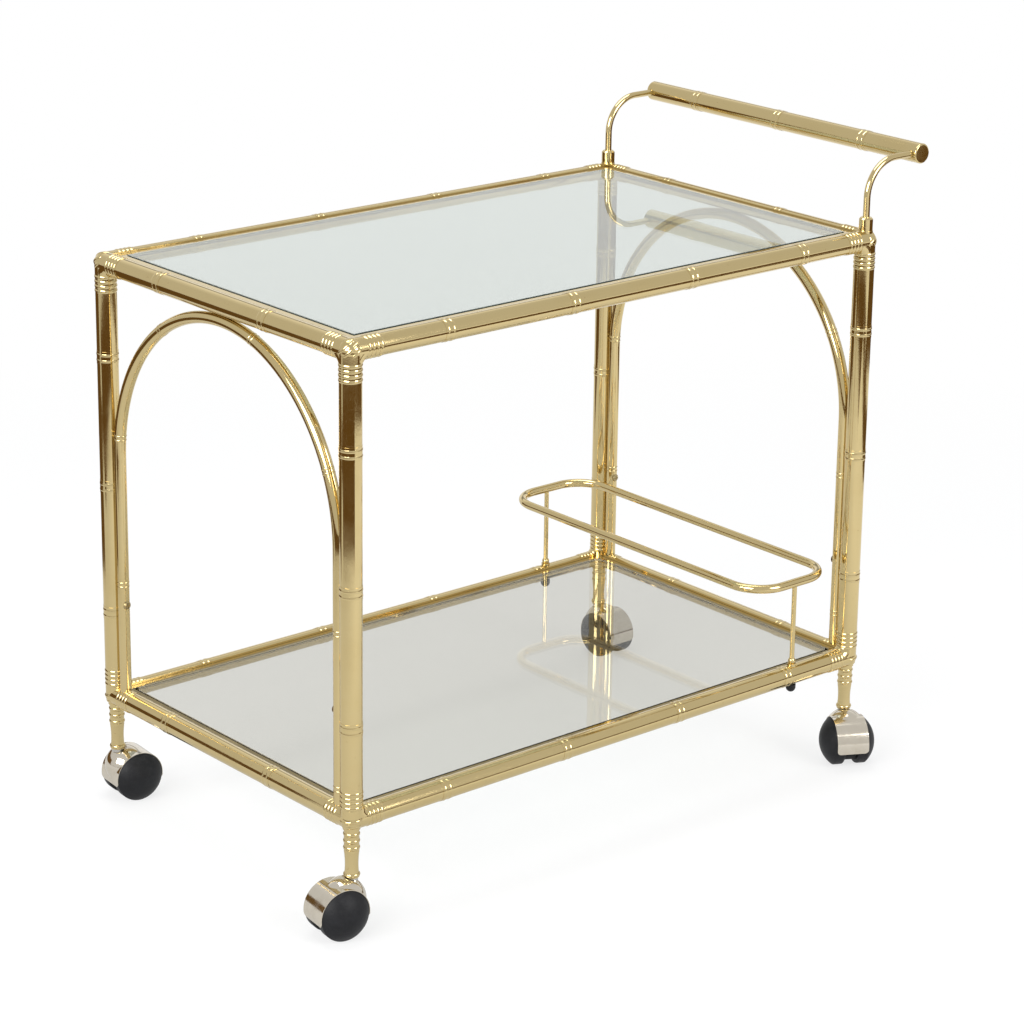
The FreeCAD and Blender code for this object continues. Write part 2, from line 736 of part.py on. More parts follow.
def handle_arm(index):
    """A rod that rises from a corner and bends over to the handle's cap."""
    foot_height = size("handle_seat_z") - size("rod_sink")
    place = corner_point(index) + Vector(0, 0, top_z + foot_height)
    body = new_body("handle_arm", Placement(place, UP))
    bend = size("rod_bend_r")
    straight = size("handle_rise") - foot_height - bend
    reach = size("handle_reach") - size("handle_d") / 2 + size("rod_sink")
    spine = new_sketch(body, "XZ_Plane")
    circle = Part.Circle(Vector(bend, straight, 0), Vector(0, 0, 1), bend)
    spine.addGeometry(Part.LineSegment(Vector(0, 0, 0), Vector(0, straight, 0)))
    spine.addGeometry(Part.ArcOfCircle(circle, math.pi / 2, math.pi))
    end = Vector(reach, straight + bend, 0)
    spine.addGeometry(Part.LineSegment(Vector(bend, straight + bend, 0), end))
    join(spine, (0, 1, -1, 1), (0, 2, 1, 2), (1, 1, 2, 1))
    spine.addConstraint(Sketcher.Constraint("Vertical", 0))
    spine.addConstraint(Sketcher.Constraint("Horizontal", 2))
    spine.addConstraint(Sketcher.Constraint("Horizontal", 1, 2, 1, 3))
    spine.addConstraint(Sketcher.Constraint("Vertical", 1, 1, 1, 3))
    rise = "Sizes.handle_rise - (Sizes.handle_seat_z - Sizes.rod_sink)"
    measure(spine, "Radius", 1, "Sizes.rod_bend_r")
    measure(spine, "DistanceY", -1, 1, 2, 2, rise)
    measure(
        spine, "DistanceX", -1, 1, 2, 2,
        "Sizes.handle_reach - Sizes.handle_d / 2 + Sizes.rod_sink",
    )
    pipe(body, "AdditivePipe", round_section(body, "Sizes.rod_d / 2", 0, "0"), spine)
    return body


def ferrule(index):
    """The collar that hides where a handle rod enters its corner."""
    place = corner_point(index) + Vector(0, 0, top_z + size("handle_seat_z"))
    body = new_body("handle_ferrule", Placement(place, UP))
    collar = primitive(
        body, "AdditiveCylinder", at(), Radius="Sizes.ferrule_d / 2", Height="Sizes.ferrule_l"
    )
    doc.recompute()
    bevel = body.newObject("PartDesign::Chamfer", "Bevel")
    bevel.Base = (collar, round_edges(collar, size("ferrule_l"), size("ferrule_d") / 2))
    bind(bevel, Size="Sizes.ferrule_chamfer")
    round_bore(body, "Sizes.rod_d / 2 + Sizes.fit", "Sizes.ferrule_l + 2")
    return body


def loop_spine(body):
    """A rounded rectangle on the plan plane that starts in the middle of one long side."""
    corner_r = size("loop_corner_r")
    half_x = size("loop_w") / 2
    half_y = size("span_y") / 2
    flat_x = half_x - corner_r
    flat_y = half_y - corner_r
    stops = [
        (half_x, 0), (half_x, flat_y), (flat_x, half_y), (-flat_x, half_y), (-half_x, flat_y),
        (-half_x, -flat_y), (-flat_x, -half_y), (flat_x, -half_y), (half_x, -flat_y), (half_x, 0),
    ]
    points = [Vector(x, y, 0) for x, y in stops]
    sketch = new_sketch(body, "XY_Plane")
    for step, (start, end) in enumerate(zip(points, points[1:])):
        if step % 2 == 0:
            sketch.addGeometry(Part.LineSegment(start, end))
            continue
        quarter = step // 2
        side = Vector(flat_x if quarter in (0, 3) else -flat_x, flat_y if quarter < 2 else -flat_y, 0)
        circle = Part.Circle(side, Vector(0, 0, 1), corner_r)
        sketch.addGeometry(
            Part.ArcOfCircle(circle, quarter * math.pi / 2, (quarter + 1) * math.pi / 2)
        )
    last = len(points) - 2
    for step in range(last):
        sketch.addConstraint(Sketcher.Constraint("Tangent", step, 2, step + 1, 1))
    join(sketch, (last, 2, 0, 1))
    sketch.addConstraint(Sketcher.Constraint("PointOnObject", 0, 1, -1))
    for line in (0, 4, 8):
        sketch.addConstraint(Sketcher.Constraint("Vertical", line))
    for line in (2, 6):
        sketch.addConstraint(Sketcher.Constraint("Horizontal", line))
    for arc in (3, 5, 7):
        sketch.addConstraint(Sketcher.Constraint("Equal", 1, arc))
    measure(sketch, "Radius", 1, "Sizes.loop_corner_r")
    measure(sketch, "DistanceX", -1, 1, 0, 1, "Sizes.loop_w / 2")
    measure(sketch, "DistanceX", 4, 1, -1, 1, "Sizes.loop_w / 2")
    measure(sketch, "DistanceY", -1, 1, 2, 1, "Sizes.span_y / 2")
    measure(sketch, "DistanceY", 6, 1, -1, 1, "Sizes.span_y / 2")
    return sketch


def bottle_rail():
    """A rod bent to a closed loop, with a blind hole over each post."""
    place = Vector(size("span_x") / 2 - size("loop_inset"), 0, low_z + size("loop_z"))
    body = node(new_body("bottle_rail", Placement(place, UP)))
    section = new_sketch(body, "XZ_Plane")
    middle = Vector(size("loop_w") / 2, 0, 0)
    section.addGeometry(Part.Circle(middle, Vector(0, 0, 1), size("loop_d") / 2))
    section.addConstraint(Sketcher.Constraint("PointOnObject", 0, 3, -1))
    measure(section, "Radius", 0, "Sizes.loop_d / 2")
    measure(section, "DistanceX", -1, 1, 0, 3, "Sizes.loop_w / 2")
    pipe(body, "AdditivePipe", section, loop_spine(body))
    for side in (-1, 1):
        hole = at(0, side * size("span_y") / 2, -size("loop_d"))
        primitive(
            body, "SubtractiveCylinder", hole,
            Radius="Sizes.post_d / 2 + Sizes.fit", Height="Sizes.loop_d / 2 + Sizes.post_sink",
        )


def post(side):
    """A thin post with a ball collar on a saddle, and a tail that goes through the rail."""
    place = Vector(size("span_x") / 2 - size("loop_inset"), side * size("span_y") / 2, low_z)
    body = new_body("bottle_rail_post", Placement(place, UP))
    crest = size("rail_d") / 2
    primitive(
        body, "AdditiveCylinder", at(), Radius="Sizes.saddle_d / 2",
        Height="Sizes.rail_d / 2 + Sizes.saddle_t",
    )
    primitive(
        body, "SubtractiveCylinder", at(-size("rail_d"), turn=ALONG_X),
        Radius="Sizes.rail_d / 2", Height="2 * Sizes.rail_d",
    )
    collar = at(z=crest + size("saddle_t") + size("collar_ball_d") / 3)
    primitive(body, "AdditiveSphere", collar, Radius="Sizes.collar_ball_d / 2")
    primitive(
        body, "AdditiveCylinder", at(z=crest + size("saddle_t")), Radius="Sizes.post_d / 2",
        Height="Sizes.loop_z - Sizes.loop_d / 2 + Sizes.post_sink"
               " - Sizes.rail_d / 2 - Sizes.saddle_t",
    )
    primitive(
        body, "AdditiveCylinder", at(z=-crest - size("nut_d") / 2), Radius="Sizes.tail_d / 2",
        Height="Sizes.rail_d + Sizes.nut_d / 2 + Sizes.saddle_t / 2",
    )
    return body


def cap_nut(side):
    """A domed nut on a post's tail, under the rail."""
    place = Vector(size("span_x") / 2 - size("loop_inset"), side * size("span_y") / 2, low_z)
    body = new_body("bottle_rail_nut", Placement(place, UP))
    under = -size("rail_d") / 2
    primitive(
        body, "AdditiveSphere", at(z=under - size("nut_l")), Radius="Sizes.nut_d / 2"
    )
    primitive(
        body, "AdditiveCylinder", at(z=under, turn=DOWN),
        Radius="Sizes.nut_d / 2", Height="Sizes.nut_l",
    )
    primitive(
        body, "SubtractiveCylinder", at(z=under), Radius="Sizes.nut_d / 2", Height="Sizes.nut_d"
    )
    primitive(
        body, "SubtractiveCylinder", at(z=under - size("nut_d") / 2),
        Radius="Sizes.tail_d / 2 + Sizes.fit", Height="Sizes.nut_d",
    )
    return body


def hood(label, place):
    """A polished band over both wheels, with a ball-shaped hub and a flat seat for the stem."""
    body = node(new_body(label, place))
    lying = Rotation(Vector(1, 0, 0), 90) * about_z(-size("hood_dip"))
    middle = Vector(size("trail"), 0, axle_z)
    edge = Vector(0, hood_w / 2, 0)
    primitive(
        body, "AdditiveCylinder", Placement(middle + edge, lying),
        Radius=HOOD_R, Height=HOOD_W, Angle="180 + 2 * Sizes.hood_dip",
    )
    hub = at(size("hub_in"), 0, axle_z + size("hub_up"))
    primitive(body, "AdditiveSphere", hub, Radius="Sizes.hub_r")
    shell = primitive(
        body, "SubtractiveCylinder", Placement(middle + edge * 2, lying),
        Radius=HOOD_IN_R, Height=f"2 * {HOOD_W}",
    )
    doc.recompute()
    short = [
        f"Edge{i}" for i, line in enumerate(shell.Shape.Edges, 1)
        if not line.Degenerated
        and isinstance(line.Curve, Part.Line)
        and line.Length < 2 * size("hood_t")
    ]
    rounded = body.newObject("PartDesign::Fillet", "LowerCorners")
    rounded.Base = (shell, short)
    bind(rounded, Radius="Sizes.hood_round")
    primitive(
        body, "SubtractiveCylinder", at(z=axle_z),
        Radius="Sizes.stem_d / 2 + Sizes.stem_clear", Height="2 * Sizes.wheel_d",
    )
    primitive(
        body, "SubtractiveCylinder", at(z=stem_z), Radius="Sizes.spot_d / 2", Height="Sizes.wheel_d"
    )


def core(label, place):
    """The middle of a caster: it carries the hood and holds the stem and the axle."""
    body = node(new_body(label, place))
    lying = Rotation(Vector(1, 0, 0), 90) * about_z(-size("hood_dip"))
    edge = Vector(size("trail"), size("core_w") / 2, axle_z)
    primitive(
        body, "AdditiveCylinder", Placement(edge, lying),
        Radius=f"{HOOD_IN_R} - Sizes.run_fit", Height="Sizes.core_w",
        Angle="180 + 2 * Sizes.hood_dip",
    )
    primitive(
        body, "AdditiveCylinder", Placement(edge, lying),
        Radius="Sizes.core_d / 2", Height="Sizes.core_w",
    )
    primitive(
        body, "SubtractiveCylinder", Placement(edge + Vector(0, 1, 0), lying),
        Radius="Sizes.axle_d / 2 + Sizes.run_fit", Height="Sizes.core_w + 2",
    )
    primitive(
        body, "SubtractiveCylinder", at(z=stem_z - size("stem_down")),
        Radius="Sizes.stem_d / 2 + Sizes.fit", Height="2 * Sizes.stem_down",
    )


def stem(label, place):
    """A steel pin with a collar; it turns in the foot's socket."""
    body = node(new_body(label, place))
    primitive(
        body, "AdditiveCylinder", at(z=stem_z - size("stem_down")), Radius="Sizes.stem_d / 2",
        Height="Sizes.stem_down + Sizes.stem_collar_t + Sizes.swivel_gap + Sizes.stem_up",
    )
    primitive(
        body, "AdditiveCylinder", at(z=stem_z),
        Radius="Sizes.stem_collar_d / 2", Height="Sizes.stem_collar_t",
    )


def axle(label, place):
    body = node(new_body(label, place))
    start = at(size("trail"), -axle_half, axle_z, ALONG_Y)
    primitive(body, "AdditiveCylinder", start, Radius="Sizes.axle_d / 2", Height=f"2 * {AXLE_HALF}")


def wheel(label, place, side):
    """A solid wheel with a domed face and a blind bore from its inner side."""
    turn = ALONG_Y if side > 0 else Rotation(Vector(1, 0, 0), 90)
    inner = side * (size("core_w") / 2 + size("side_gap"))
    body = node(new_body(label, place * at(size("trail"), inner, axle_z, turn)))
    radius = size("wheel_d") / 2
    tread = size("tread_w")
    apex = tread + size("dome_h")
    dome_r = (radius**2 + size("dome_h") ** 2) / (2 * size("dome_h"))
    spread = math.asin(radius / dome_r)
    centre = Vector(0, 0, 0)
    rim = Vector(radius, 0, 0)
    shoulder = Vector(radius, tread, 0)
    top = Vector(0, apex, 0)
    circle = Part.Circle(Vector(0, apex - dome_r, 0), Vector(0, 0, 1), dome_r)
    sketch = new_sketch(body, "XZ_Plane")
    sketch.addGeometry(Part.LineSegment(centre, rim))
    sketch.addGeometry(Part.LineSegment(rim, shoulder))
    sketch.addGeometry(Part.ArcOfCircle(circle, math.pi / 2 - spread, math.pi / 2))
    sketch.addGeometry(Part.LineSegment(top, centre))
    join(sketch, (0, 1, -1, 1), (0, 2, 1, 1), (1, 2, 2, 1), (2, 2, 3, 1), (3, 2, 0, 1))
    for kind, line in (("Horizontal", 0), ("Vertical", 1), ("Vertical", 3)):
        sketch.addConstraint(Sketcher.Constraint(kind, line))
    sketch.addConstraint(Sketcher.Constraint("PointOnObject", 2, 3, -2))
    measure(sketch, "DistanceX", -1, 1, 0, 2, "Sizes.wheel_d / 2")
    measure(sketch, "DistanceY", -1, 1, 1, 2, "Sizes.tread_w")
    measure(sketch, "DistanceY", -1, 1, 3, 1, "Sizes.tread_w + Sizes.dome_h")
    solid = body.newObject("PartDesign::Revolution", "Turned")
    solid.Profile = sketch
    solid.ReferenceAxis = (sketch, ["V_Axis"])
    doc.recompute()
    rims = [edge for height in (0, tread) for edge in round_edges(solid, height, radius)]
    rounded = body.newObject("PartDesign::Fillet", "RimRound")
    rounded.Base = (solid, rims)
    bind(rounded, Radius="Sizes.rim_round")
    primitive(
        body, "SubtractiveCylinder", at(z=-1),
        Radius="Sizes.axle_d / 2 + Sizes.run_fit", Height="Sizes.wheel_bore_l + 1",
    )


def caster(index):
    place = Placement(corner_point(index), about_z(size("swivel_" + CORNERS[index])))
    name = "caster_" + CORNERS[index]
    hood(name + "_hood", place)
    core(name + "_core", place)
    stem(name + "_stem", place)
    axle(name + "_axle", place)
    wheel(name + "_wheel_a", place, 1)
    wheel(name + "_wheel_b", place, -1)


for index in range(len(CORNERS)):
    leg(index)
    foot(index)
    for level, height in (("low", low_z), ("top", top_z)):
        corner(level, index, height)
        rail(level, index, height)
for label, side in (("arch_left", -1), ("arch_right", 1)):
    arch(label, side * size("span_x") / 2)
group(
    "arch_screws",
    [arch_screw(x * size("span_x") / 2, side) for x in (-1, 1) for side in (-1, 1)],
)
shelf("low", low_z)
shelf("top", top_z)
handle_tube()
group("handle_caps", [handle_cap(side) for side in (-1, 1)])
group("handle_arms", [handle_arm(index) for index in (1, 2)])
group("handle_ferrules", [ferrule(index) for index in (1, 2)])
bottle_rail()
group("bottle_rail_posts", [post(side) for side in (-1, 1)])
group("bottle_rail_nuts", [cap_nut(side) for side in (-1, 1)])
for index in range(len(CORNERS)):
    caster(index)
doc.recompute()

for item in doc.Objects:
    if {"Invalid", "Error"} & set(item.State):
        raise RuntimeError(f"{item.Label}: {item.State}")
    if item.isDerivedFrom("PartDesign::Pocket") or "Subtractive" in item.TypeId:
        if item.Shape.Volume >= item.BaseFeature.Shape.Volume:
            raise RuntimeError(f"{item.Label}: nothing was cut away")
for piece in nodes:
    if piece.Shape.isNull() or not piece.Shape.isValid():
        raise RuntimeError(f"{piece.Label}: bad shape")

# The origin is on the floor, under the middle of the whole cart's plan.
box = FreeCAD.BoundBox()
for piece in nodes:
    box.add(piece.Shape.optimalBoundingBox(False, False))
shift = Vector(-box.Center.x, -box.Center.y, -box.ZMin)
for piece in nodes:
    piece.Placement.Base = piece.Placement.Base + shift
doc.recompute()

os.makedirs("parts", exist_ok=True)
for piece in nodes:
    piece.Shape.exportStep(f"parts/{piece.Label}.step")
print(f"{len(nodes)} pieces, {box.XLength:.1f} x {box.YLength:.1f} x {box.ZLength:.1f} mm")
print(f"moved by {shift.x:.3f}, {shift.y:.3f}, {shift.z:.3f} mm")
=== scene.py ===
# %% [markdown]
# A brass bar cart in the faux-bamboo style. The shapes were built as solids beforehand and arrive
# here as a fixed frame, already in metres and in place. This lesson dresses them: polished brass,
# nickel hoods, black wheels and two panes of glass, under plain studio light.

# %% Load the cart
import json
import math

import bmesh
import bpy
from mathutils import Matrix, Vector


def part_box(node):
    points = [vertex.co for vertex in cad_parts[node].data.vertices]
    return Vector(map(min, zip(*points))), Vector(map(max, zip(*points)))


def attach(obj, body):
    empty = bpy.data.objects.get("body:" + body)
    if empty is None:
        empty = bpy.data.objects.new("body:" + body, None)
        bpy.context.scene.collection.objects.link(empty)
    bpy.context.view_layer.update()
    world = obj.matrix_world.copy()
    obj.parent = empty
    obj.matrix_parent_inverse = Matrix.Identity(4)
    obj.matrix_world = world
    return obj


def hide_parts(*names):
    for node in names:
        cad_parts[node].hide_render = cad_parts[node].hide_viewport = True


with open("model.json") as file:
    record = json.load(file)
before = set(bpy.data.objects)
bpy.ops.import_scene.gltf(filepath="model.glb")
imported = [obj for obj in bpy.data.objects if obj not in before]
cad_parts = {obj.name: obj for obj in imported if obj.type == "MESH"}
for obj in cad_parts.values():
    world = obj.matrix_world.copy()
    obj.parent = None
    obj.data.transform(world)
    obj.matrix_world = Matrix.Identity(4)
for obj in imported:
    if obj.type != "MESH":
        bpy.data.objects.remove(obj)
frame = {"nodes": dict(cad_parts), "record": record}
nodes = frame["nodes"]
scene = bpy.context.scene


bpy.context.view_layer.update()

# %% [markdown]
# The camera stands where the photographer stood. A long lens far away keeps the legs nearly
# parallel. Its direction comes from the edges of the frame: the two sets of rails and the legs
# point to three vanishing points, and those fix both the turn of the camera and its lens. The
# middle of the leg rectangle is the natural point to measure from, because the handle and the
# casters pull the middle of the whole box to one side.

# %% Camera
IMAGE = 1024
FOCAL_PIXELS = 3203.277
CENTRE_X, CENTRE_Y = 544.876, 414.218
SENSOR = 36.0
TOWARDS_EYE = (-0.62899, -0.71930, 0.29493)
EYE_FROM_MIDDLE = (-1.9094, -2.2622, 1.1850)
ROLL_DEGREES = 0.937

legs = [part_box("leg_" + corner) for corner in ("front_left", "back_right")]
leg_middle = sum((low + high for low, high in legs), Vector()) / 4
low_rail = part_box("low_rail_front")
rail_height = (low_rail[0].z + low_rail[1].z) / 2
measured_from = Vector((leg_middle.x, leg_middle.y, rail_height))

towards_eye = Vector(TOWARDS_EYE).normalized()
level = Vector((0, 0, 1)).cross(towards_eye).normalized()
upright = towards_eye.cross(level)
roll = math.radians(ROLL_DEGREES)
right = level * math.cos(roll) + upright * math.sin(roll)
top = upright * math.cos(roll) - level * math.sin(roll)

camera_data = bpy.data.cameras.new("photo_camera")
camera_data.sensor_width = SENSOR
camera_data.lens = FOCAL_PIXELS / IMAGE * SENSOR
camera_data.shift_x = (IMAGE / 2 - CENTRE_X) / IMAGE
camera_data.shift_y = (CENTRE_Y - IMAGE / 2) / IMAGE
camera = bpy.data.objects.new("photo_camera", camera_data)
eye = measured_from + Vector(EYE_FROM_MIDDLE)
turn = Matrix((right, top, towards_eye)).transposed().to_4x4()
camera.matrix_world = Matrix.Translation(eye) @ turn
scene.collection.objects.link(camera)
scene.camera = camera
print("lens", round(camera_data.lens, 1), "mm, eye at", [round(v, 3) for v in eye])

# %% [markdown]
# Every material below is a small graph of nodes. A few helpers keep the cells short: one adds a node
# and sets its plain values, one joins outputs to inputs, and one adds the node that is needed most, a
# Map Range, which stretches one span of values to another. A value that is the same all over a
# surface is typed into the shader's own socket, so that other programs can read it.

# %% Node helpers
scene.view_settings.view_transform = "Standard"


def add(tree, kind, **values):
    """Adds a node; settings are attributes in lower case, sockets are given by their place."""
    node = tree.nodes.new(kind)
    for name, value in values.items():
        if name.startswith("in_"):
            node.inputs[int(name[3:])].default_value = value
        else:
            setattr(node, name, value)
    return node


def wire(tree, *pairs):
    for source, target in pairs:
        tree.links.new(source, target)


def ramp(tree, start, end, low=0.0, high=1.0):
    """Turns values from start to end into values from low to high, and no further."""
    return add(tree, "ShaderNodeMapRange", in_1=start, in_2=end, in_3=low, in_4=high)


def new_material(name):
    material = bpy.data.materials.new(name)
    material.use_nodes = True
    material.node_tree.nodes.clear()
    return material, material.node_tree


print("view transform:", scene.view_settings.view_transform)

# %% [markdown]
# A renderer sends out rays, and a shader can ask what kind of ray wants its colour. The room and the
# paper on the floor could be one even white, but polished metal would then look flat. So they look
# white in the picture and are dimmer where a polished piece mirrors them. One helper marks the rays
# that look at a surface, and the other gives mirror-like rays a level of their own.

# %% Kinds of rays
def seen_rays(tree):
    """A mask of the rays that look at a surface, as against the ones that only light it."""
    rays = add(tree, "ShaderNodeLightPath")
    mask = rays.outputs["Is Camera Ray"]
    for kind in ("Is Glossy Ray", "Is Transmission Ray"):
        either = add(tree, "ShaderNodeMath", operation="MAXIMUM")
        wire(tree, (mask, either.inputs[0]), (rays.outputs[kind], either.inputs[1]))
        mask = either.outputs[0]
    return mask


def for_mirrors(tree, plain, mirrored):
    """One level for rays that look straight on and another for mirror-like rays."""
    rays = add(tree, "ShaderNodeLightPath")
    bounced = add(tree, "ShaderNodeMath", operation="MULTIPLY")
    level = ramp(tree, 0.0, 1.0, low=plain)
    wire(
        tree,
        (rays.outputs["Is Glossy Ray"], bounced.inputs[0]),
        (rays.outputs["Is Reflection Ray"], bounced.inputs[1]),
        (bounced.outputs[0], level.inputs[0]),
        (mirrored, level.inputs[4]),
    )
    return level.outputs[0]


print("ray helpers ready")

# %% [markdown]
# A polished tube shows the room more than itself, so the room is guessed from what the rails of the
# real cart mirror: a tall white sweep of paper behind it, a somewhat dimmer studio everywhere else,
# and far behind, low over the paper, a dark flag, as photographers call a cloth that takes light
# away. The flag is just where the lower pane would mirror the bright paper, so that pane stays clear.
# Rays that look straight at the world or through glass find plain white, and the soft light that
# falls on everything is dimmer, which keeps the shading gentle.

# %% World
SWEEP_WAY = (0.66, 0.75, 0)
SWEEP_TOP, SWEEP_SIDE = (0.56, 0.74), (0.5, 0.78)
FLAG_SIDE, FLAG_BOTTOM, FLAG_TOP = (0.66, 0.78), (0.30, 0.33), (0.445, 0.415)
ROOM_LEVEL, FLAG_LEVEL = 0.71, 0.34
SOFT_TINT, SOFT_LEVEL = (0.93, 0.96, 1.0, 1), 0.55
WHITE = (1, 1, 1, 1)
world = bpy.data.worlds.new("studio")
world.use_nodes = True
scene.world = world
sky = world.node_tree
sky.nodes.clear()
way = add(sky, "ShaderNodeTexCoord")
height = add(sky, "ShaderNodeSeparateXYZ")
behind = add(sky, "ShaderNodeVectorMath", operation="DOT_PRODUCT", in_1=SWEEP_WAY)
sweep_height = ramp(sky, *SWEEP_TOP, 1.0, ROOM_LEVEL)
room_or_sweep = ramp(sky, *SWEEP_SIDE, ROOM_LEVEL)
flag_width = ramp(sky, *FLAG_SIDE)
flag_bottom = ramp(sky, *FLAG_BOTTOM)
flag_top = ramp(sky, *FLAG_TOP)
flag_band = add(sky, "ShaderNodeMath", operation="MULTIPLY")
flag = add(sky, "ShaderNodeMath", operation="MULTIPLY")
mirrored = ramp(sky, 0.0, 1.0, high=FLAG_LEVEL)
dim = add(sky, "ShaderNodeBackground", in_0=SOFT_TINT, in_1=SOFT_LEVEL)
white = add(sky, "ShaderNodeBackground", in_0=WHITE)
choose = add(sky, "ShaderNodeMixShader")
world_out = add(sky, "ShaderNodeOutputWorld")
wire(
    sky,
    (way.outputs["Generated"], height.inputs[0]),
    (way.outputs["Generated"], behind.inputs[0]),
    (height.outputs["Z"], sweep_height.inputs[0]),
    (behind.outputs["Value"], room_or_sweep.inputs[0]),
    (sweep_height.outputs[0], room_or_sweep.inputs[4]),
    (behind.outputs["Value"], flag_width.inputs[0]),
    (height.outputs["Z"], flag_bottom.inputs[0]),
    (height.outputs["Z"], flag_top.inputs[0]),
    (flag_bottom.outputs[0], flag_band.inputs[0]),
    (flag_top.outputs[0], flag_band.inputs[1]),
    (flag_band.outputs[0], flag.inputs[0]),
    (flag_width.outputs[0], flag.inputs[1]),
    (flag.outputs[0], mirrored.inputs[0]),
    (room_or_sweep.outputs[0], mirrored.inputs[3]),
    (for_mirrors(sky, 1.0, mirrored.outputs[0]), white.inputs[1]),
    (seen_rays(sky), choose.inputs[0]),
    (dim.outputs[0], choose.inputs[1]),
    (white.outputs[0], choose.inputs[2]),
    (choose.outputs[0], world_out.inputs[0]),
)
print("world: white sweep, dimmer room, dark flag,", len(sky.nodes), "nodes")

# %% [markdown]
# The floor is one large plane. It must look white in the picture and still carry the soft shadow
# under the wheels. Most of its brightness is therefore its own glow and the rest is ordinary
# diffuse paper, which darkens where the cart keeps the light away. Further out, where no shadow
# falls, the glow takes over completely. For mirror-like rays the glow carries painted shade, which the
# legs and the undersides of the rails mirror: it is brightest on the right, fades to the left, and has
# a painted shadow of the cart near it.

# %% Floor
FLOOR_HALF = 12.0
RIGHTWARD = (0.866, -0.5, 0)
SHADOW_ZONE, SHADOW_GLOW = (0.5, 1.6), 0.74
# Painted shade in the glow that mirrors see: darker to the left, and a painted shadow near the cart.
LEFT_SHADE_ZONE, LEFT_SHADE_LEVEL = (-1.0, 0.3), 0.70
CART_SHADE_ZONE, CART_SHADE_LEVEL = (0.35, 0.9), 0.72
PAPER_WHITE = (0.88, 0.88, 0.88, 1)
floor_mesh = bpy.data.meshes.new("floor")
corners = [(x, y, 0) for x, y in ((-1, -1), (1, -1), (1, 1), (-1, 1))]
floor_mesh.from_pydata([Vector(c) * FLOOR_HALF for c in corners], [], [(0, 1, 2, 3)])
floor = bpy.data.objects.new("floor", floor_mesh)
scene.collection.objects.link(floor)
paper, tree = new_material("white_sweep")
place = add(tree, "ShaderNodeTexCoord")
far = add(tree, "ShaderNodeVectorMath", operation="LENGTH")
glowing = ramp(tree, *SHADOW_ZONE, SHADOW_GLOW)
share = add(tree, "ShaderNodeMath", operation="MULTIPLY")
rightward = add(tree, "ShaderNodeVectorMath", operation="DOT_PRODUCT", in_1=RIGHTWARD)
# These two ramps paint shade into the mirrored glow: one darkens it to the left, the other near the cart.
painted_left_shade = ramp(tree, *LEFT_SHADE_ZONE, LEFT_SHADE_LEVEL)
painted_cart_shadow = ramp(tree, *CART_SHADE_ZONE, CART_SHADE_LEVEL)
mirrored = add(tree, "ShaderNodeMath", operation="MULTIPLY")
matt = add(tree, "ShaderNodeBsdfDiffuse", in_0=PAPER_WHITE)
glow = add(tree, "ShaderNodeEmission", in_0=WHITE)
mixed = add(tree, "ShaderNodeMixShader")
out = add(tree, "ShaderNodeOutputMaterial")
wire(
    tree,
    (place.outputs["Object"], far.inputs[0]),
    (far.outputs["Value"], glowing.inputs[0]),
    (place.outputs["Object"], rightward.inputs[0]),
    (rightward.outputs["Value"], painted_left_shade.inputs[0]),
    (far.outputs["Value"], painted_cart_shadow.inputs[0]),
    (painted_left_shade.outputs[0], mirrored.inputs[0]),
    (painted_cart_shadow.outputs[0], mirrored.inputs[1]),
    (for_mirrors(tree, 1.0, mirrored.outputs[0]), glow.inputs[1]),
    (seen_rays(tree), share.inputs[0]),
    (glowing.outputs[0], share.inputs[1]),
    (share.outputs[0], mixed.inputs[0]),
    (matt.outputs[0], mixed.inputs[1]),
    (glow.outputs[0], mixed.inputs[2]),
    (mixed.outputs[0], out.inputs[0]),
)
floor_mesh.materials.append(paper)
print("floor", 2 * FLOOR_HALF, "m wide")

# %% [markdown]
# Three large soft lamps do the lighting: a main one on the left, a weaker one on the right, both not
# far above the cart, and one overhead. A straight tube mirrors only a thin cone of directions, and
# the lamps hang outside the cones of the rails. So the rails stay calm, while each bead, however flat,
# catches two white glints.

# %% Lamps
AIM = Vector((0, 0, 0.3))


def soft_lamp(name, place, width, height, power, warmth):
    data = bpy.data.lights.new(name, "AREA")
    data.shape = "RECTANGLE"
    data.size, data.size_y = width, height
    data.energy = power
    data.color = (1.0, warmth, warmth * warmth)
    lamp = bpy.data.objects.new(name, data)
    lamp.location = place
    lamp.rotation_euler = (AIM - lamp.location).to_track_quat("-Z", "Y").to_euler()
    scene.collection.objects.link(lamp)
    print(name, "at", place, power, "W")
    return lamp


low_lamps = [
    soft_lamp("main_lamp", (-2.45, -0.66, 1.5), width=1.9, height=1.3, power=62, warmth=0.99),
    soft_lamp("fill_lamp", (0.72, -2.53, 1.55), width=1.3, height=1.2, power=34, warmth=0.985),
]
soft_lamp("top_lamp", (0.2, 0.6, 3.2), width=2.4, height=1.4, power=42, warmth=1.0)

# %% [markdown]
# Photographers set dark cards round polished metal, because without something dark to mirror a tube
# looks flat and pale. The ones here are brown strips on the floor, bent round a leg: two in front of
# the near leg, one on the right and two on the left. Some end in a low wall. They give the upper legs
# and the undersides of the rails their dark streaks. Only mirror-like rays meet the cards, so they
# are never seen themselves.

# %% Cards
CARD_STEPS = 24
LIFT = 0.004
CARD_BROWN = (0.15, 0.085, 0.028, 1)

brown, tree = new_material("brown_card")
gleam = add(tree, "ShaderNodeEmission", in_0=CARD_BROWN, in_1=1.0)
out = add(tree, "ShaderNodeOutputMaterial")
wire(tree, (gleam.outputs[0], out.inputs[0]))


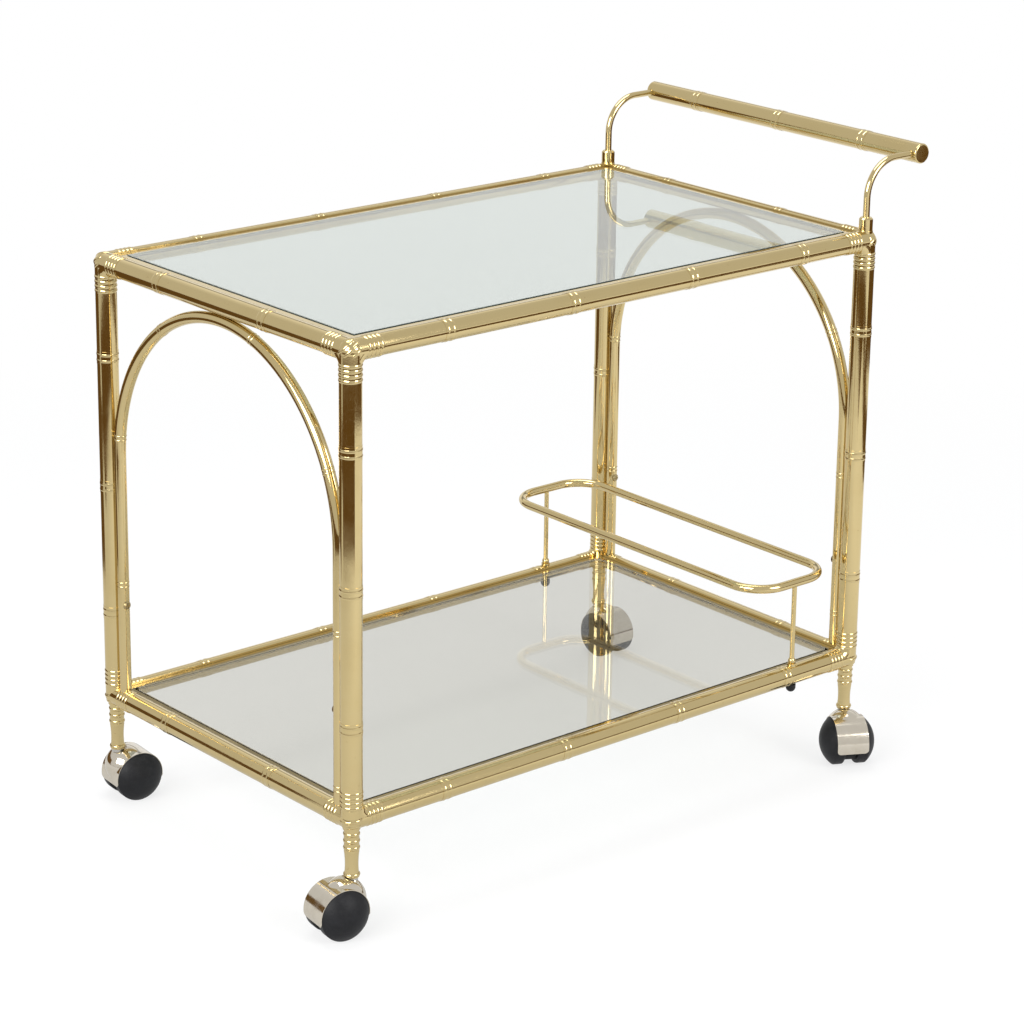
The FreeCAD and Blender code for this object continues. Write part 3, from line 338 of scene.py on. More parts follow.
def card(name, middle, first, last, profile):
    """A strip bent round an upright line, from one angle to another.

    The profile lists distances from the line and heights.
    """
    turns = [math.radians(first + (last - first) * i / CARD_STEPS) for i in range(CARD_STEPS + 1)]
    points = [
        (middle.x + far * math.cos(turn), middle.y + far * math.sin(turn), height)
        for far, height in profile
        for turn in turns
    ]
    count = len(turns)
    faces = [
        (r * count + i, r * count + i + 1, (r + 1) * count + i + 1, (r + 1) * count + i)
        for r in range(len(profile) - 1)
        for i in range(CARD_STEPS)
    ]
    mesh = bpy.data.meshes.new(name)
    mesh.from_pydata(points, [], faces)
    mesh.materials.append(brown)
    strip = bpy.data.objects.new(name, mesh)
    scene.collection.objects.link(strip)
    strip.visible_camera = False
    strip.visible_diffuse = False
    strip.visible_transmission = False
    strip.visible_shadow = False
    print(name, len(faces), "faces")


def foot_of(leg):
    low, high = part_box(leg)
    return Vector(((low.x + high.x) / 2, (low.y + high.y) / 2, 0))


near_foot, right_foot = foot_of("leg_front_left"), foot_of("leg_front_right")
left_foot = foot_of("leg_back_left")
card("front_card", near_foot, 150, 272, [(1.0, LIFT), (1.85, LIFT)])
card("far_front_card", near_foot, 272, 368, [(1.52, LIFT), (1.85, LIFT)])
card("right_card", right_foot, 290, 405, [(1.42, LIFT), (2.2, LIFT), (2.2, 0.22)])
card("left_card", left_foot, 75, 146, [(0.66, LIFT), (0.98, LIFT), (1.0, 0.36)])
card("far_left_card", left_foot, 146, 198, [(1.08, LIFT), (1.36, LIFT)])

# %% [markdown]
# Old polished metal is never one even colour. Three effects turn up on more than one finish, so
# each is a node group with named sockets: soft clouds of tarnish, fine hairline scratches from
# years of wiping, and dust that settles on whatever faces up. A group only hands out masks and
# heights. The shader itself stays in each material.

# %% Shared effects
def effect_group(name, inputs, outputs):
    group = bpy.data.node_groups.new(name, "ShaderNodeTree")
    for label, kind, value in inputs:
        socket = group.interface.new_socket(label, in_out="INPUT", socket_type=kind)
        if value is not None:
            socket.default_value = value
    for label in outputs:
        group.interface.new_socket(label, in_out="OUTPUT", socket_type="NodeSocketFloat")
    return group, add(group, "NodeGroupInput"), add(group, "NodeGroupOutput")


def noise(tree, detail, roughness=0.5, scale=5.0):
    return add(tree, "ShaderNodeTexNoise", in_2=scale, in_3=detail, in_4=roughness)


print("effect helpers ready")

# %% [markdown]
# Tarnish could be an image laid over the tubes, but noise has no seams and needs no file. Here it is
# two layers of noise: a large one that makes soft clouds above a threshold, and a much finer one of
# which only the highest peaks are left, as freckles.

# %% Tarnish
FINER = 22.0
tarnish, given, result = effect_group(
    "tarnish_clouds",
    [("Place", "NodeSocketVector", None), ("Size", "NodeSocketFloat", 14.0),
     ("Threshold", "NodeSocketFloat", 0.5)],
    ["Clouds", "Freckles"],
)
clouds = noise(tarnish, detail=5.0, roughness=0.62)
specks = noise(tarnish, detail=2.0)
finer = add(tarnish, "ShaderNodeMath", operation="MULTIPLY", in_1=FINER)
cloud_range = ramp(tarnish, 0.0, 0.72)
speck_range = ramp(tarnish, 0.70, 0.80)
wire(
    tarnish,
    (given.outputs["Place"], clouds.inputs["Vector"]),
    (given.outputs["Size"], clouds.inputs["Scale"]),
    (given.outputs["Size"], finer.inputs[0]),
    (given.outputs["Place"], specks.inputs["Vector"]),
    (finer.outputs[0], specks.inputs["Scale"]),
    (clouds.outputs["Fac"], cloud_range.inputs[0]),
    (given.outputs["Threshold"], cloud_range.inputs[1]),
    (specks.outputs["Fac"], speck_range.inputs[0]),
    (cloud_range.outputs[0], result.inputs["Clouds"]),
    (speck_range.outputs[0], result.inputs["Freckles"]),
)
print(tarnish.name, len(tarnish.nodes), "nodes")

# %% [markdown]
# Wiping leaves fine scratches. They could be drawn one by one, but the borders between the cells of a
# Voronoi pattern are thin lines already. A noise keeps them to some patches, and a very fine noise
# gives the grain that any surface has when it is seen from near.

# %% Hairlines
hairlines, given, result = effect_group(
    "hairline_scratches",
    [("Place", "NodeSocketVector", None), ("Size", "NodeSocketFloat", 60.0)],
    ["Lines", "Grain"],
)
cells = add(hairlines, "ShaderNodeTexVoronoi", feature="DISTANCE_TO_EDGE")
thin = ramp(hairlines, 0.0, 0.022, 1.0, 0.0)
bent = noise(hairlines, detail=2.0, scale=9.0)
patchy = ramp(hairlines, 0.48, 0.62)
lines = add(hairlines, "ShaderNodeMath", operation="MULTIPLY")
grain = noise(hairlines, detail=2.0, scale=700.0)
wire(
    hairlines,
    (given.outputs["Place"], cells.inputs["Vector"]),
    (given.outputs["Size"], cells.inputs["Scale"]),
    (cells.outputs["Distance"], thin.inputs[0]),
    (given.outputs["Place"], bent.inputs["Vector"]),
    (bent.outputs["Fac"], patchy.inputs[0]),
    (thin.outputs[0], lines.inputs[0]),
    (patchy.outputs[0], lines.inputs[1]),
    (given.outputs["Place"], grain.inputs["Vector"]),
    (lines.outputs[0], result.inputs["Lines"]),
    (grain.outputs["Fac"], result.inputs["Grain"]),
)
print(hairlines.name, len(hairlines.nodes), "nodes")

# %% [markdown]
# Dust lies on what faces up. It could be a layer of tiny grains, but from this far a mask is enough:
# the height of the normal says how much a place faces up, and a noise breaks the film into motes.

# %% Dust
dust, given, result = effect_group(
    "settled_dust",
    [("Place", "NodeSocketVector", None), ("Facing", "NodeSocketVector", None),
     ("Size", "NodeSocketFloat", 90.0)],
    ["Dust"],
)
upward = add(dust, "ShaderNodeSeparateXYZ")
upper = ramp(dust, -0.2, 0.9)
motes = noise(dust, detail=6.0, roughness=0.7)
mote_range = ramp(dust, 0.42, 0.78)
laid = add(dust, "ShaderNodeMath", operation="MULTIPLY")
wire(
    dust,
    (given.outputs["Facing"], upward.inputs[0]),
    (upward.outputs["Z"], upper.inputs[0]),
    (given.outputs["Place"], motes.inputs["Vector"]),
    (given.outputs["Size"], motes.inputs["Scale"]),
    (motes.outputs["Fac"], mote_range.inputs[0]),
    (upper.outputs[0], laid.inputs[0]),
    (mote_range.outputs[0], laid.inputs[1]),
    (laid.outputs[0], result.inputs["Dust"]),
)
print(dust.name, len(dust.nodes), "nodes")

# %% [markdown]
# A finish starts from the same few nodes each time: a Principled shader, its output, the place on
# the piece in Object coordinates, and the effects that the finish uses. This helper lays them out.

# %% Start of a finish
def start_finish(name):
    material, tree = new_material(name)
    shader = add(tree, "ShaderNodeBsdfPrincipled")
    out = add(tree, "ShaderNodeOutputMaterial")
    place = add(tree, "ShaderNodeTexCoord")
    wire(tree, (shader.outputs[0], out.inputs[0]))
    return material, tree, shader, place.outputs["Object"]


def use(tree, group, place, **values):
    node = add(tree, "ShaderNodeGroup", node_tree=group)
    wire(tree, (place, node.inputs["Place"]))
    for label, value in values.items():
        node.inputs[label.title()].default_value = value
    return node


def blend_colours(tree, mask, amount, first, second):
    """Goes from the first colour to the second by a mask; a colour may also be an output."""
    mix = add(tree, "ShaderNodeMix", data_type="RGBA")
    scaled = add(tree, "ShaderNodeMath", operation="MULTIPLY", in_1=amount)
    wire(tree, (mask, scaled.inputs[0]), (scaled.outputs[0], mix.inputs[0]))
    for colour, index in ((first, 6), (second, 7)):
        if isinstance(colour, tuple):
            mix.inputs[index].default_value = (*colour, 1)
        else:
            wire(tree, (colour, mix.inputs[index]))
    return mix.outputs[2]


def spread(tree, mask, low, high):
    span = ramp(tree, 0.0, 1.0, low, high)
    wire(tree, (mask, span.inputs[0]))
    return span.outputs[0]


def relief(tree, height, strength, depth):
    bump = add(tree, "ShaderNodeBump", in_0=strength, in_1=depth)
    wire(tree, (height, bump.inputs["Height"]))
    return bump.outputs["Normal"]


print("finish helpers ready")

# %% [markdown]
# The tubes, castings and feet look like brass that was polished and lacquered long ago. Metal has no
# colour under its shine: the gold is the tint of its reflections. Clouds of tarnish pull that tint
# towards a deeper orange gold, a few freckles stand for spots where the lacquer has gone, and the
# scratches only change how sharp the reflections are.

# %% Brass
GOLD, DEEP_GOLD, BARE_SPOT = (0.67, 0.535, 0.27), (0.60, 0.455, 0.195), (0.33, 0.20, 0.07)
brass, tree, shader, place = start_finish("polished_brass")
shader.inputs["Metallic"].default_value = 1.0
age = use(tree, tarnish, place, size=16.0, threshold=0.46)
wiped = use(tree, hairlines, place, size=85.0)
gold = blend_colours(tree, age.outputs["Clouds"], 0.30, GOLD, DEEP_GOLD)
gold = blend_colours(tree, age.outputs["Freckles"], 0.45, gold, BARE_SPOT)
dulled = add(tree, "ShaderNodeMath", operation="MAXIMUM")
wire(
    tree,
    (age.outputs["Clouds"], dulled.inputs[0]),
    (wiped.outputs["Lines"], dulled.inputs[1]),
    (gold, shader.inputs["Base Color"]),
    (spread(tree, dulled.outputs[0], 0.07, 0.17), shader.inputs["Roughness"]),
    (relief(tree, wiped.outputs["Grain"], 0.05, 0.0002), shader.inputs["Normal"]),
)
print(brass.name, len(tree.nodes), "nodes")

# %% [markdown]
# The hoods of the casters look like pressed steel with a thin nickel plating. It is paler than the
# brass and a little warm. Hoods scrape along skirting boards, so the scratches are stronger and the
# plating is dull in patches.

# %% Nickel hoods
PLATE, DULL_PLATE, SCRATCH = (0.72, 0.66, 0.555), (0.60, 0.535, 0.43), (0.78, 0.75, 0.69)
nickel, tree, shader, place = start_finish("hood_nickel")
shader.inputs["Metallic"].default_value = 1.0
age = use(tree, tarnish, place, size=55.0, threshold=0.5)
scraped = use(tree, hairlines, place, size=160.0)
plate = blend_colours(tree, age.outputs["Clouds"], 0.5, PLATE, DULL_PLATE)
plate = blend_colours(tree, scraped.outputs["Lines"], 0.4, plate, SCRATCH)
worn = add(tree, "ShaderNodeMath", operation="MAXIMUM")
wire(
    tree,
    (age.outputs["Clouds"], worn.inputs[0]),
    (scraped.outputs["Lines"], worn.inputs[1]),
    (plate, shader.inputs["Base Color"]),
    (spread(tree, worn.outputs[0], 0.10, 0.24), shader.inputs["Roughness"]),
    (relief(tree, scraped.outputs["Grain"], 0.08, 0.0002), shader.inputs["Normal"]),
)
print(nickel.name, len(tree.nodes), "nodes")

# %% [markdown]
# Wheels and cores are moulded in black plastic, which has a fine grain and picks up grey dust and pale
# scuffs on a floor. The core between the wheels never touches anything, so it is the same plastic with
# more dust and less shine. The cap nuts of the bottle rail are glossy black, and the same recipe with
# a finer grain serves for their paint.

# %% Black plastics
DUST_GREY, SCUFF_GREY = (0.23, 0.22, 0.21), (0.16, 0.16, 0.16)


def moulded_black(name, colour, roughness, dusty, grain_depth):
    material, tree, shader, place = start_finish(name)
    facing = add(tree, "ShaderNodeNewGeometry")
    film = use(tree, dust, place, size=140.0)
    scuffs = use(tree, hairlines, place, size=120.0)
    age = use(tree, tarnish, place, size=70.0, threshold=0.45)
    shader.inputs["Specular IOR Level"].default_value = 0.22
    wire(tree, (facing.outputs["Normal"], film.inputs["Facing"]))
    black = blend_colours(tree, age.outputs["Clouds"], 0.5, colour, tuple(1.9 * c for c in colour))
    black = blend_colours(tree, film.outputs["Dust"], dusty, black, DUST_GREY)
    black = blend_colours(tree, scuffs.outputs["Lines"], dusty * 0.6, black, SCUFF_GREY)
    wire(
        tree,
        (black, shader.inputs["Base Color"]),
        (spread(tree, film.outputs["Dust"], roughness, roughness + 0.3), shader.inputs["Roughness"]),
        (relief(tree, scuffs.outputs["Grain"], 0.35, grain_depth), shader.inputs["Normal"]),
    )
    print(name, len(tree.nodes), "nodes")
    return material


wheel_black = moulded_black("wheel_black", (0.0095, 0.0097, 0.0112), 0.46, 0.05, 0.0004)
core_black = moulded_black("core_black", (0.008, 0.008, 0.009), 0.62, 0.10, 0.0004)
nut_black = moulded_black("nut_black", (0.012, 0.012, 0.012), 0.22, 0.05, 0.0001)

# %% [markdown]
# The stems hardly show and the axles not at all, so both are taken to be plain turned steel. Turning
# leaves fine rings round the axis. Rings that follow height work for the upright stems, and on the
# small level pins they pass for drawn wire. The screws of the arches are given the same steel under a
# dulled yellow plating.

# %% Steel
def turned(name, clean, stained):
    material, tree, shader, place = start_finish(name)
    shader.inputs["Metallic"].default_value = 1.0
    rings = add(tree, "ShaderNodeTexWave", bands_direction="Z")
    for label, value in (("Scale", 900.0), ("Distortion", 1.5), ("Detail", 2.0)):
        rings.inputs[label].default_value = value
    age = use(tree, tarnish, place, size=60.0, threshold=0.45)
    wire(
        tree,
        (place, rings.inputs["Vector"]),
        (blend_colours(tree, age.outputs["Clouds"], 0.6, clean, stained), shader.inputs["Base Color"]),
        (spread(tree, age.outputs["Clouds"], 0.22, 0.38), shader.inputs["Roughness"]),
        (relief(tree, rings.outputs["Fac"], 0.12, 0.0001), shader.inputs["Normal"]),
    )
    print(name, len(tree.nodes), "nodes")
    return material


steel = turned("turned_steel", (0.60, 0.585, 0.55), (0.40, 0.36, 0.30))
yellow_steel = turned("yellow_plated_steel", (0.50, 0.40, 0.21), (0.26, 0.18, 0.08))

# %% [markdown]
# The shelves are panes of float glass. Glass is mostly what is behind it and what it mirrors. Light
# that enters a pane by its narrow side has to go through many centimetres of it, so the side is
# painted deep green where it is seen from outside, while from inside it is as clear as the rest. The
# green is the glass's own tint, and its darkness is painted shade, which stands for the shade in the
# rebate of the rail. The lower pane is a light warm grey. The upper one is a little greener and has a
# faint veil, like a film of polish, over what is below it. Light that falls through a pane should reach
# the floor, so for shadow rays and for scattered light the pane is simply clear.

# %% Glass
# The colour of the sides seen from outside: the glass's green tint, darkened by painted shade.
SIDE_GREEN_AND_SHADE = (0.03, 0.058, 0.044)
SIDE_TILT = (0.75, 0.35)
SHADOW_TINT = (0.92, 0.94, 0.93, 1)


def pane_glass(name, colour, clearness):
    material, tree, shader, place = start_finish(name)
    shader.inputs["Transmission Weight"].default_value = clearness
    shader.inputs["IOR"].default_value = 1.5
    facing = add(tree, "ShaderNodeNewGeometry")
    tilt = add(tree, "ShaderNodeSeparateXYZ")
    flat = add(tree, "ShaderNodeMath", operation="ABSOLUTE")
    side = ramp(tree, *SIDE_TILT)
    from_outside = add(tree, "ShaderNodeMath", operation="SUBTRACT", in_0=1.0)
    side_tint_and_shade = add(tree, "ShaderNodeMath", operation="MULTIPLY")
    smear = use(tree, tarnish, place, size=9.0, threshold=0.5)
    rays = add(tree, "ShaderNodeLightPath")
    soft_rays = add(tree, "ShaderNodeMath", operation="MAXIMUM")
    open_way = add(tree, "ShaderNodeBsdfTransparent", in_0=SHADOW_TINT)
    either = add(tree, "ShaderNodeMixShader")
    out = next(n for n in tree.nodes if n.type == "OUTPUT_MATERIAL")
    wire(
        tree,
        (facing.outputs["Normal"], tilt.inputs[0]),
        (tilt.outputs["Z"], flat.inputs[0]),
        (flat.outputs[0], side.inputs[0]),
        (facing.outputs["Backfacing"], from_outside.inputs[1]),
        (side.outputs[0], side_tint_and_shade.inputs[0]),
        (from_outside.outputs[0], side_tint_and_shade.inputs[1]),
        (blend_colours(tree, side_tint_and_shade.outputs[0], 1.0, colour, SIDE_GREEN_AND_SHADE), shader.inputs["Base Color"]),
        (spread(tree, smear.outputs["Clouds"], 0.0, 0.025), shader.inputs["Roughness"]),
        (rays.outputs["Is Shadow Ray"], soft_rays.inputs[0]),
        (rays.outputs["Is Diffuse Ray"], soft_rays.inputs[1]),
        (soft_rays.outputs[0], either.inputs[0]),
        (shader.outputs[0], either.inputs[1]),
        (open_way.outputs[0], either.inputs[2]),
        (either.outputs[0], out.inputs[0]),
    )
    print(name, len(tree.nodes), "nodes")
    return material


upper_glass = pane_glass("upper_glass", (0.655, 0.70, 0.665), 0.88)
lower_glass = pane_glass("lower_glass", (0.725, 0.72, 0.675), 1.0)

# %% [markdown]
# Each solid keeps its own shape and takes its finish by the name of its material slot.

# %% Dress the solids
FINISHES = {
    "brass": brass,
    "nickel": nickel,
    "black_wheel": wheel_black,
    "black_core": core_black,
    "black_nut": nut_black,
    "steel": steel,
    "screw_steel": yellow_steel,
    "glass": lower_glass,
}
for part in frame["record"]["subparts"]:
    solid = nodes[part["node"]]
    solid.data.materials.clear()
    solid.data.materials.append(FINISHES[part["material_slot"]])
print("dressed", len(nodes), "solids")

# %% [markdown]
# A pane that leaves the glazier has its sharp edges taken off with a stone, so each edge ends in a
# narrow bright line. On the real cart the panes lie a little below the tops of the rails and end a
# little inside them, so the far rails show as bare metal above the glass. The solid panes reach further
# and lie higher. So a copy of each is merged to a clean block, drawn in, lowered and given a small
# bevel, and this copy stands for the solid.

# %% Panes with ground edges
GROUND = 0.0006
MERGE, SAME_PLANE = 1e-6, math.radians(1)
TOP_IN, TOP_DOWN = 0.0092, 0.00234
LOW_IN, LOW_DOWN = 0.0072, 0.00196


def ground_pane(node, finish, drawn_in, lowered):
    block = bmesh.new()
    block.from_mesh(nodes[node].data)
    bmesh.ops.remove_doubles(block, verts=block.verts, dist=MERGE)
    bmesh.ops.dissolve_limit(block, angle_limit=SAME_PLANE, verts=block.verts, edges=block.edges)
    low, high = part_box(node)
    middle = (low + high) / 2
    for corner in block.verts:
        corner.co.x -= math.copysign(drawn_in, corner.co.x - middle.x)
        corner.co.y -= math.copysign(drawn_in, corner.co.y - middle.y)
        corner.co.z -= lowered
    bmesh.ops.bevel(block, geom=block.edges[:], offset=GROUND, segments=2, affect="EDGES", profile=0.5)
    mesh = bpy.data.meshes.new(node + "_pane")
    block.to_mesh(mesh)
    block.free()
    mesh.materials.append(finish)
    pane = bpy.data.objects.new(node + "_pane", mesh)
    scene.collection.objects.link(pane)
    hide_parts(node)
    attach(pane, "frame")
    print(pane.name, len(mesh.polygons), "faces")
    return pane


panes = [
    ground_pane("low_shelf", lower_glass, LOW_IN, LOW_DOWN),
    ground_pane("top_shelf", upper_glass, TOP_IN, TOP_DOWN),
]

# %% [markdown]
# What carries the real panes there doesn't show, so the lip is a guess: a brass strip, pressed into a
# step and mitred at the corners. It lies on the ledges of the rails, goes down beside the glass and
# ends in a narrow seat under it. Only a thin line of the pane's dark edge stands above it. A breath
# of air stays between seat and pane, because glass that touches metal in the very same plane confuses
# the ray that crosses both.

# %% Lips under the panes
AIR = 0.00008
STRIP, SEAT, SIDE_GAP = 0.0016, 0.004, 0.0002
TOP_BARE, LOW_BARE = 0.0008, 0.0005


def lip(node, drawn_in, lowered, bare_edge):
    """Carries a strip's profile, in steps inward and heights, round the border of a pane."""
    low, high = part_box(node)
    ledge, seat = low.z + AIR, low.z - lowered - AIR
    border, web = high.z - lowered - bare_edge, drawn_in - SIDE_GAP
    profile = [
        (0, ledge), (0, border), (web, border), (web, seat), (drawn_in + SEAT, seat),
        (drawn_in + SEAT, seat - STRIP), (web - STRIP, seat - STRIP), (web - STRIP, ledge),
    ]
    strip = bmesh.new()
    rings = [
        [
            strip.verts.new((x, y, z))
            for x, y in (
                (low.x + into, low.y + into), (high.x - into, low.y + into),
                (high.x - into, high.y - into), (low.x + into, high.y - into),
            )
        ]
        for into, z in profile
    ]
    for one, other in zip(rings, rings[1:] + rings[:1]):
        for i in range(4):
            strip.faces.new((one[i - 1], one[i], other[i], other[i - 1]))
    bmesh.ops.recalc_face_normals(strip, faces=strip.faces)
    mesh = bpy.data.meshes.new(node + "_lip")
    strip.to_mesh(mesh)
    strip.free()
    mesh.materials.append(brass)
    ring = bpy.data.objects.new(node + "_lip", mesh)
    scene.collection.objects.link(ring)
    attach(ring, "frame")
    print(ring.name, len(mesh.polygons), "faces")


lip("low_shelf", LOW_IN, LOW_DOWN, LOW_BARE)
lip("top_shelf", TOP_IN, TOP_DOWN, TOP_BARE)

# %% [markdown]
# Seen from the far side, a pane would mirror the two low lamps as a white patch that hides the rail
# behind it. A photographer moves a lamp until its patch is out of sight. Light linking does that for
# all sides at once: it names the pieces that a lamp leaves out.

# %% No lamps in the panes
left_out = bpy.data.collections.new("panes_without_glare")
for pane in panes:
    left_out.objects.link(pane)
for entry in left_out.collection_objects:
    entry.light_linking.link_state = "EXCLUDE"
for lamp in low_lamps:
    lamp.light_linking.receiver_collection = left_out
print(len(low_lamps), "lamps leave out", len(panes), "panes")

# %% [markdown]
# The arches, the bottle rail and the two handle rods are tube or rod bent along a line, and that is a
# rule: a line, a round section and, on the arches, pairs of beads at even steps along the line. Each
# piece could be modelled by hand, but a Geometry Nodes tree says the rule once for all of them. It
# sweeps a circle along the line it is given, sets a pair of rings at each step, and turns every ring
# so that it stands square to the line. First come its named inputs and the sweep, which it needs twice.

# %% The bent tube rule
INPUTS = {
    "Tube Radius": "NodeSocketFloat",
    "Beaded": "NodeSocketBool",
    "Bead Radius": "NodeSocketFloat",
    "Bead Path Radius": "NodeSocketFloat",
    "Pair Gap": "NodeSocketFloat",
    "Pairs": "NodeSocketInt",
    "First Pair": "NodeSocketFloat",
    "Last Pair": "NodeSocketFloat",
    "Finish": "NodeSocketMaterial",
}
rule = bpy.data.node_groups.new("bent_tube", "GeometryNodeTree")
rule.interface.new_socket("Line", in_out="INPUT", socket_type="NodeSocketGeometry")
sockets = {
    label: rule.interface.new_socket(label, in_out="INPUT", socket_type=kind).identifier
    for label, kind in INPUTS.items()
}
rule.interface.new_socket("Tube", in_out="OUTPUT", socket_type="NodeSocketGeometry")
given, result = add(rule, "NodeGroupInput"), add(rule, "NodeGroupOutput")


def swept(line, radius, sides):
    """Sweeps a circle along a line."""
    section = add(rule, "GeometryNodeCurvePrimitiveCircle", in_0=sides)
    sweep = add(rule, "GeometryNodeCurveToMesh")
    sweep.inputs["Fill Caps"].default_value = True
    wire(
        rule,
        (radius, section.inputs["Radius"]),
        (line, sweep.inputs["Curve"]),
        (section.outputs["Curve"], sweep.inputs["Profile Curve"]),
    )
    return sweep.outputs["Mesh"]


print("named inputs:", ", ".join(sockets))

# %% [markdown]
# A bead is a ring: a small circle swept round a larger one. A pair is that ring twice, moved apart by
# the gap. The pairs could be placed one by one, but points at even steps along the line do it for any
# length, and each point also knows how the line turns there. A switch leaves the beads out where a
# piece has none.

# %% Beads along the line
RING_STEPS, RING_SIDES = 48, 14
ring_line = add(rule, "GeometryNodeCurvePrimitiveCircle", in_0=RING_STEPS)
pair = add(rule, "GeometryNodeJoinGeometry")
beaded_stretch = add(rule, "GeometryNodeTrimCurve", mode="LENGTH")
stretch_start, stretch_end = [s for s in beaded_stretch.inputs if s.enabled][-2:]
marks = add(rule, "GeometryNodeCurveToPoints", mode="COUNT")
placed = add(rule, "GeometryNodeInstanceOnPoints")
chosen = add(rule, "GeometryNodeSwitch", input_type="GEOMETRY")
wire(rule, (given.outputs["Bead Path Radius"], ring_line.inputs["Radius"]))
ring = swept(ring_line.outputs["Curve"], given.outputs["Bead Radius"], RING_SIDES)
for side in (0.5, -0.5):
    shift = add(rule, "ShaderNodeMath", operation="MULTIPLY", in_1=side)
    along = add(rule, "ShaderNodeCombineXYZ")
    moved = add(rule, "GeometryNodeTransform")
    wire(
        rule,
        (given.outputs["Pair Gap"], shift.inputs[0]),
        (shift.outputs[0], along.inputs["Z"]),
        (along.outputs[0], moved.inputs["Translation"]),
        (ring, moved.inputs["Geometry"]),
        (moved.outputs["Geometry"], pair.inputs["Geometry"]),
    )
wire(
    rule,
    (given.outputs["Line"], beaded_stretch.inputs["Curve"]),
    (given.outputs["First Pair"], stretch_start),
    (given.outputs["Last Pair"], stretch_end),
    (beaded_stretch.outputs["Curve"], marks.inputs["Curve"]),
    (given.outputs["Pairs"], marks.inputs["Count"]),
    (marks.outputs["Points"], placed.inputs["Points"]),
    (marks.outputs["Rotation"], placed.inputs["Rotation"]),
    (pair.outputs["Geometry"], placed.inputs["Instance"]),
    (given.outputs["Beaded"], chosen.inputs["Switch"]),
    (placed.outputs["Instances"], chosen.inputs["True"]),
)
print("beads:", len(rule.nodes), "nodes so far")

# %% [markdown]
# The tube itself is the line in short even steps with a circle swept along it. The rings are still
# instances, which an export drops, so they are made real. The finish is set last, so that it covers
# tube and beads alike.

# %% The whole tube
LINE_STEP, TUBE_SIDES = 0.0025, 40
fine = add(rule, "GeometryNodeResampleCurve", mode="LENGTH")
fine.inputs["Length"].default_value = LINE_STEP
whole = add(rule, "GeometryNodeJoinGeometry")
real = add(rule, "GeometryNodeRealizeInstances")
smooth = add(rule, "GeometryNodeSetShadeSmooth")
finish = add(rule, "GeometryNodeSetMaterial")
wire(
    rule,
    (given.outputs["Line"], fine.inputs["Curve"]),
    (swept(fine.outputs["Curve"], given.outputs["Tube Radius"], TUBE_SIDES), whole.inputs["Geometry"]),
    (chosen.outputs["Output"], whole.inputs["Geometry"]),
    (whole.outputs["Geometry"], real.inputs["Geometry"]),
    (real.outputs["Geometry"], smooth.inputs["Geometry"]),
    (smooth.outputs["Geometry"], finish.inputs["Geometry"]),
    (given.outputs["Finish"], finish.inputs["Material"]),
    (finish.outputs["Geometry"], result.inputs["Tube"]),
)
print(rule.name, len(rule.nodes), "nodes,", len(sockets), "named inputs")

# %% [markdown]
# A line is a chain of Bezier points. A quarter of a circle needs only its two ends, if their handles
# are 0.5523 of the radius long. So each bend is told by its two ends and the corner that it rounds,
# and whatever lies between two bends is straight.

# %% Lines to bend along
QUARTER, STRAIGHT = 0.5523, 0.33
BEND_STEPS = 48
MM = 0.001
top_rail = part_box("top_rail_front")
top_axis = (top_rail[0].z + top_rail[1].z) / 2
end_x = right_foot.x - leg_middle.x
side_y = leg_middle.y - right_foot.y


def chain(points, closed=False):
    """Bezier points from (place, pull back, pull ahead); a pull is None where the line is straight."""
    curve = bpy.data.curves.new("line", "CURVE")
    curve.dimensions = "3D"
    curve.resolution_u = BEND_STEPS
    spline = curve.splines.new("BEZIER")
    spline.bezier_points.add(len(points) - 1)
    spline.use_cyclic_u = closed
    for i, (place, back, ahead) in enumerate(points):
        knot = spline.bezier_points[i]
        knot.handle_left_type = knot.handle_right_type = "FREE"
        knot.co = place
        before, after = points[i - 1][0], points[(i + 1) % len(points)][0]
        knot.handle_left = place.lerp(before, STRAIGHT) if back is None else place.lerp(back, QUARTER)
        knot.handle_right = place.lerp(after, STRAIGHT) if ahead is None else place.lerp(ahead, QUARTER)
    return curve


def bend(start, corner, end):
    """Two Bezier points for a quarter turn that rounds a corner."""
    return [(start, None, corner), (end, corner, None)]


print("leg rectangle", round(2 * end_x, 4), "by", round(2 * side_y, 4), "m")

# %% [markdown]
# A curve carries the rule as a modifier, and its sizes are set by the identifiers of the rule's inputs.
# The tube could stay a live modifier, but the model keeps plain meshes. So the evaluated curve is made
# a mesh at once, curve and modifier are removed, and the mesh stands for the solid.

# %% From a line to a piece
def bent_piece(name, lines, **settings):
    """Makes one mesh from some lines by the bent tube rule and lets it stand for a solid."""
    joined = bmesh.new()
    for curve in lines:
        holder = bpy.data.objects.new(name + "_line", curve)
        scene.collection.objects.link(holder)
        modifier = holder.modifiers.new("bent_tube", "NODES")
        modifier.node_group = rule
        for label, value in settings.items():
            modifier[sockets[label.replace("_", " ").title()]] = value
        modifier[sockets["Finish"]] = brass
        seen = holder.evaluated_get(bpy.context.evaluated_depsgraph_get())
        mesh = bpy.data.meshes.new_from_object(seen)
        joined.from_mesh(mesh)
        holder.modifiers.remove(modifier)
        bpy.data.objects.remove(holder)
        bpy.data.meshes.remove(mesh)
    mesh = bpy.data.meshes.new(name)
    bmesh.ops.recalc_face_normals(joined, faces=joined.faces)
    joined.to_mesh(mesh)
    joined.free()
    mesh.materials.append(brass)
    piece = bpy.data.objects.new(name + "_bent", mesh)
    scene.collection.objects.link(piece)
    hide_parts(name)
    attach(piece, "frame")
    print(piece.name, len(mesh.polygons), "faces")


print("pieces can be bent by", rule.name)

# %% [markdown]
# Now the pieces themselves. An arch is two straight legs and a half circle, which is two quarter
# turns. It stands on the rings of the lower castings, so its line starts a little above the rail.
# Both arches have seven pairs of beads, but not at the same heights.

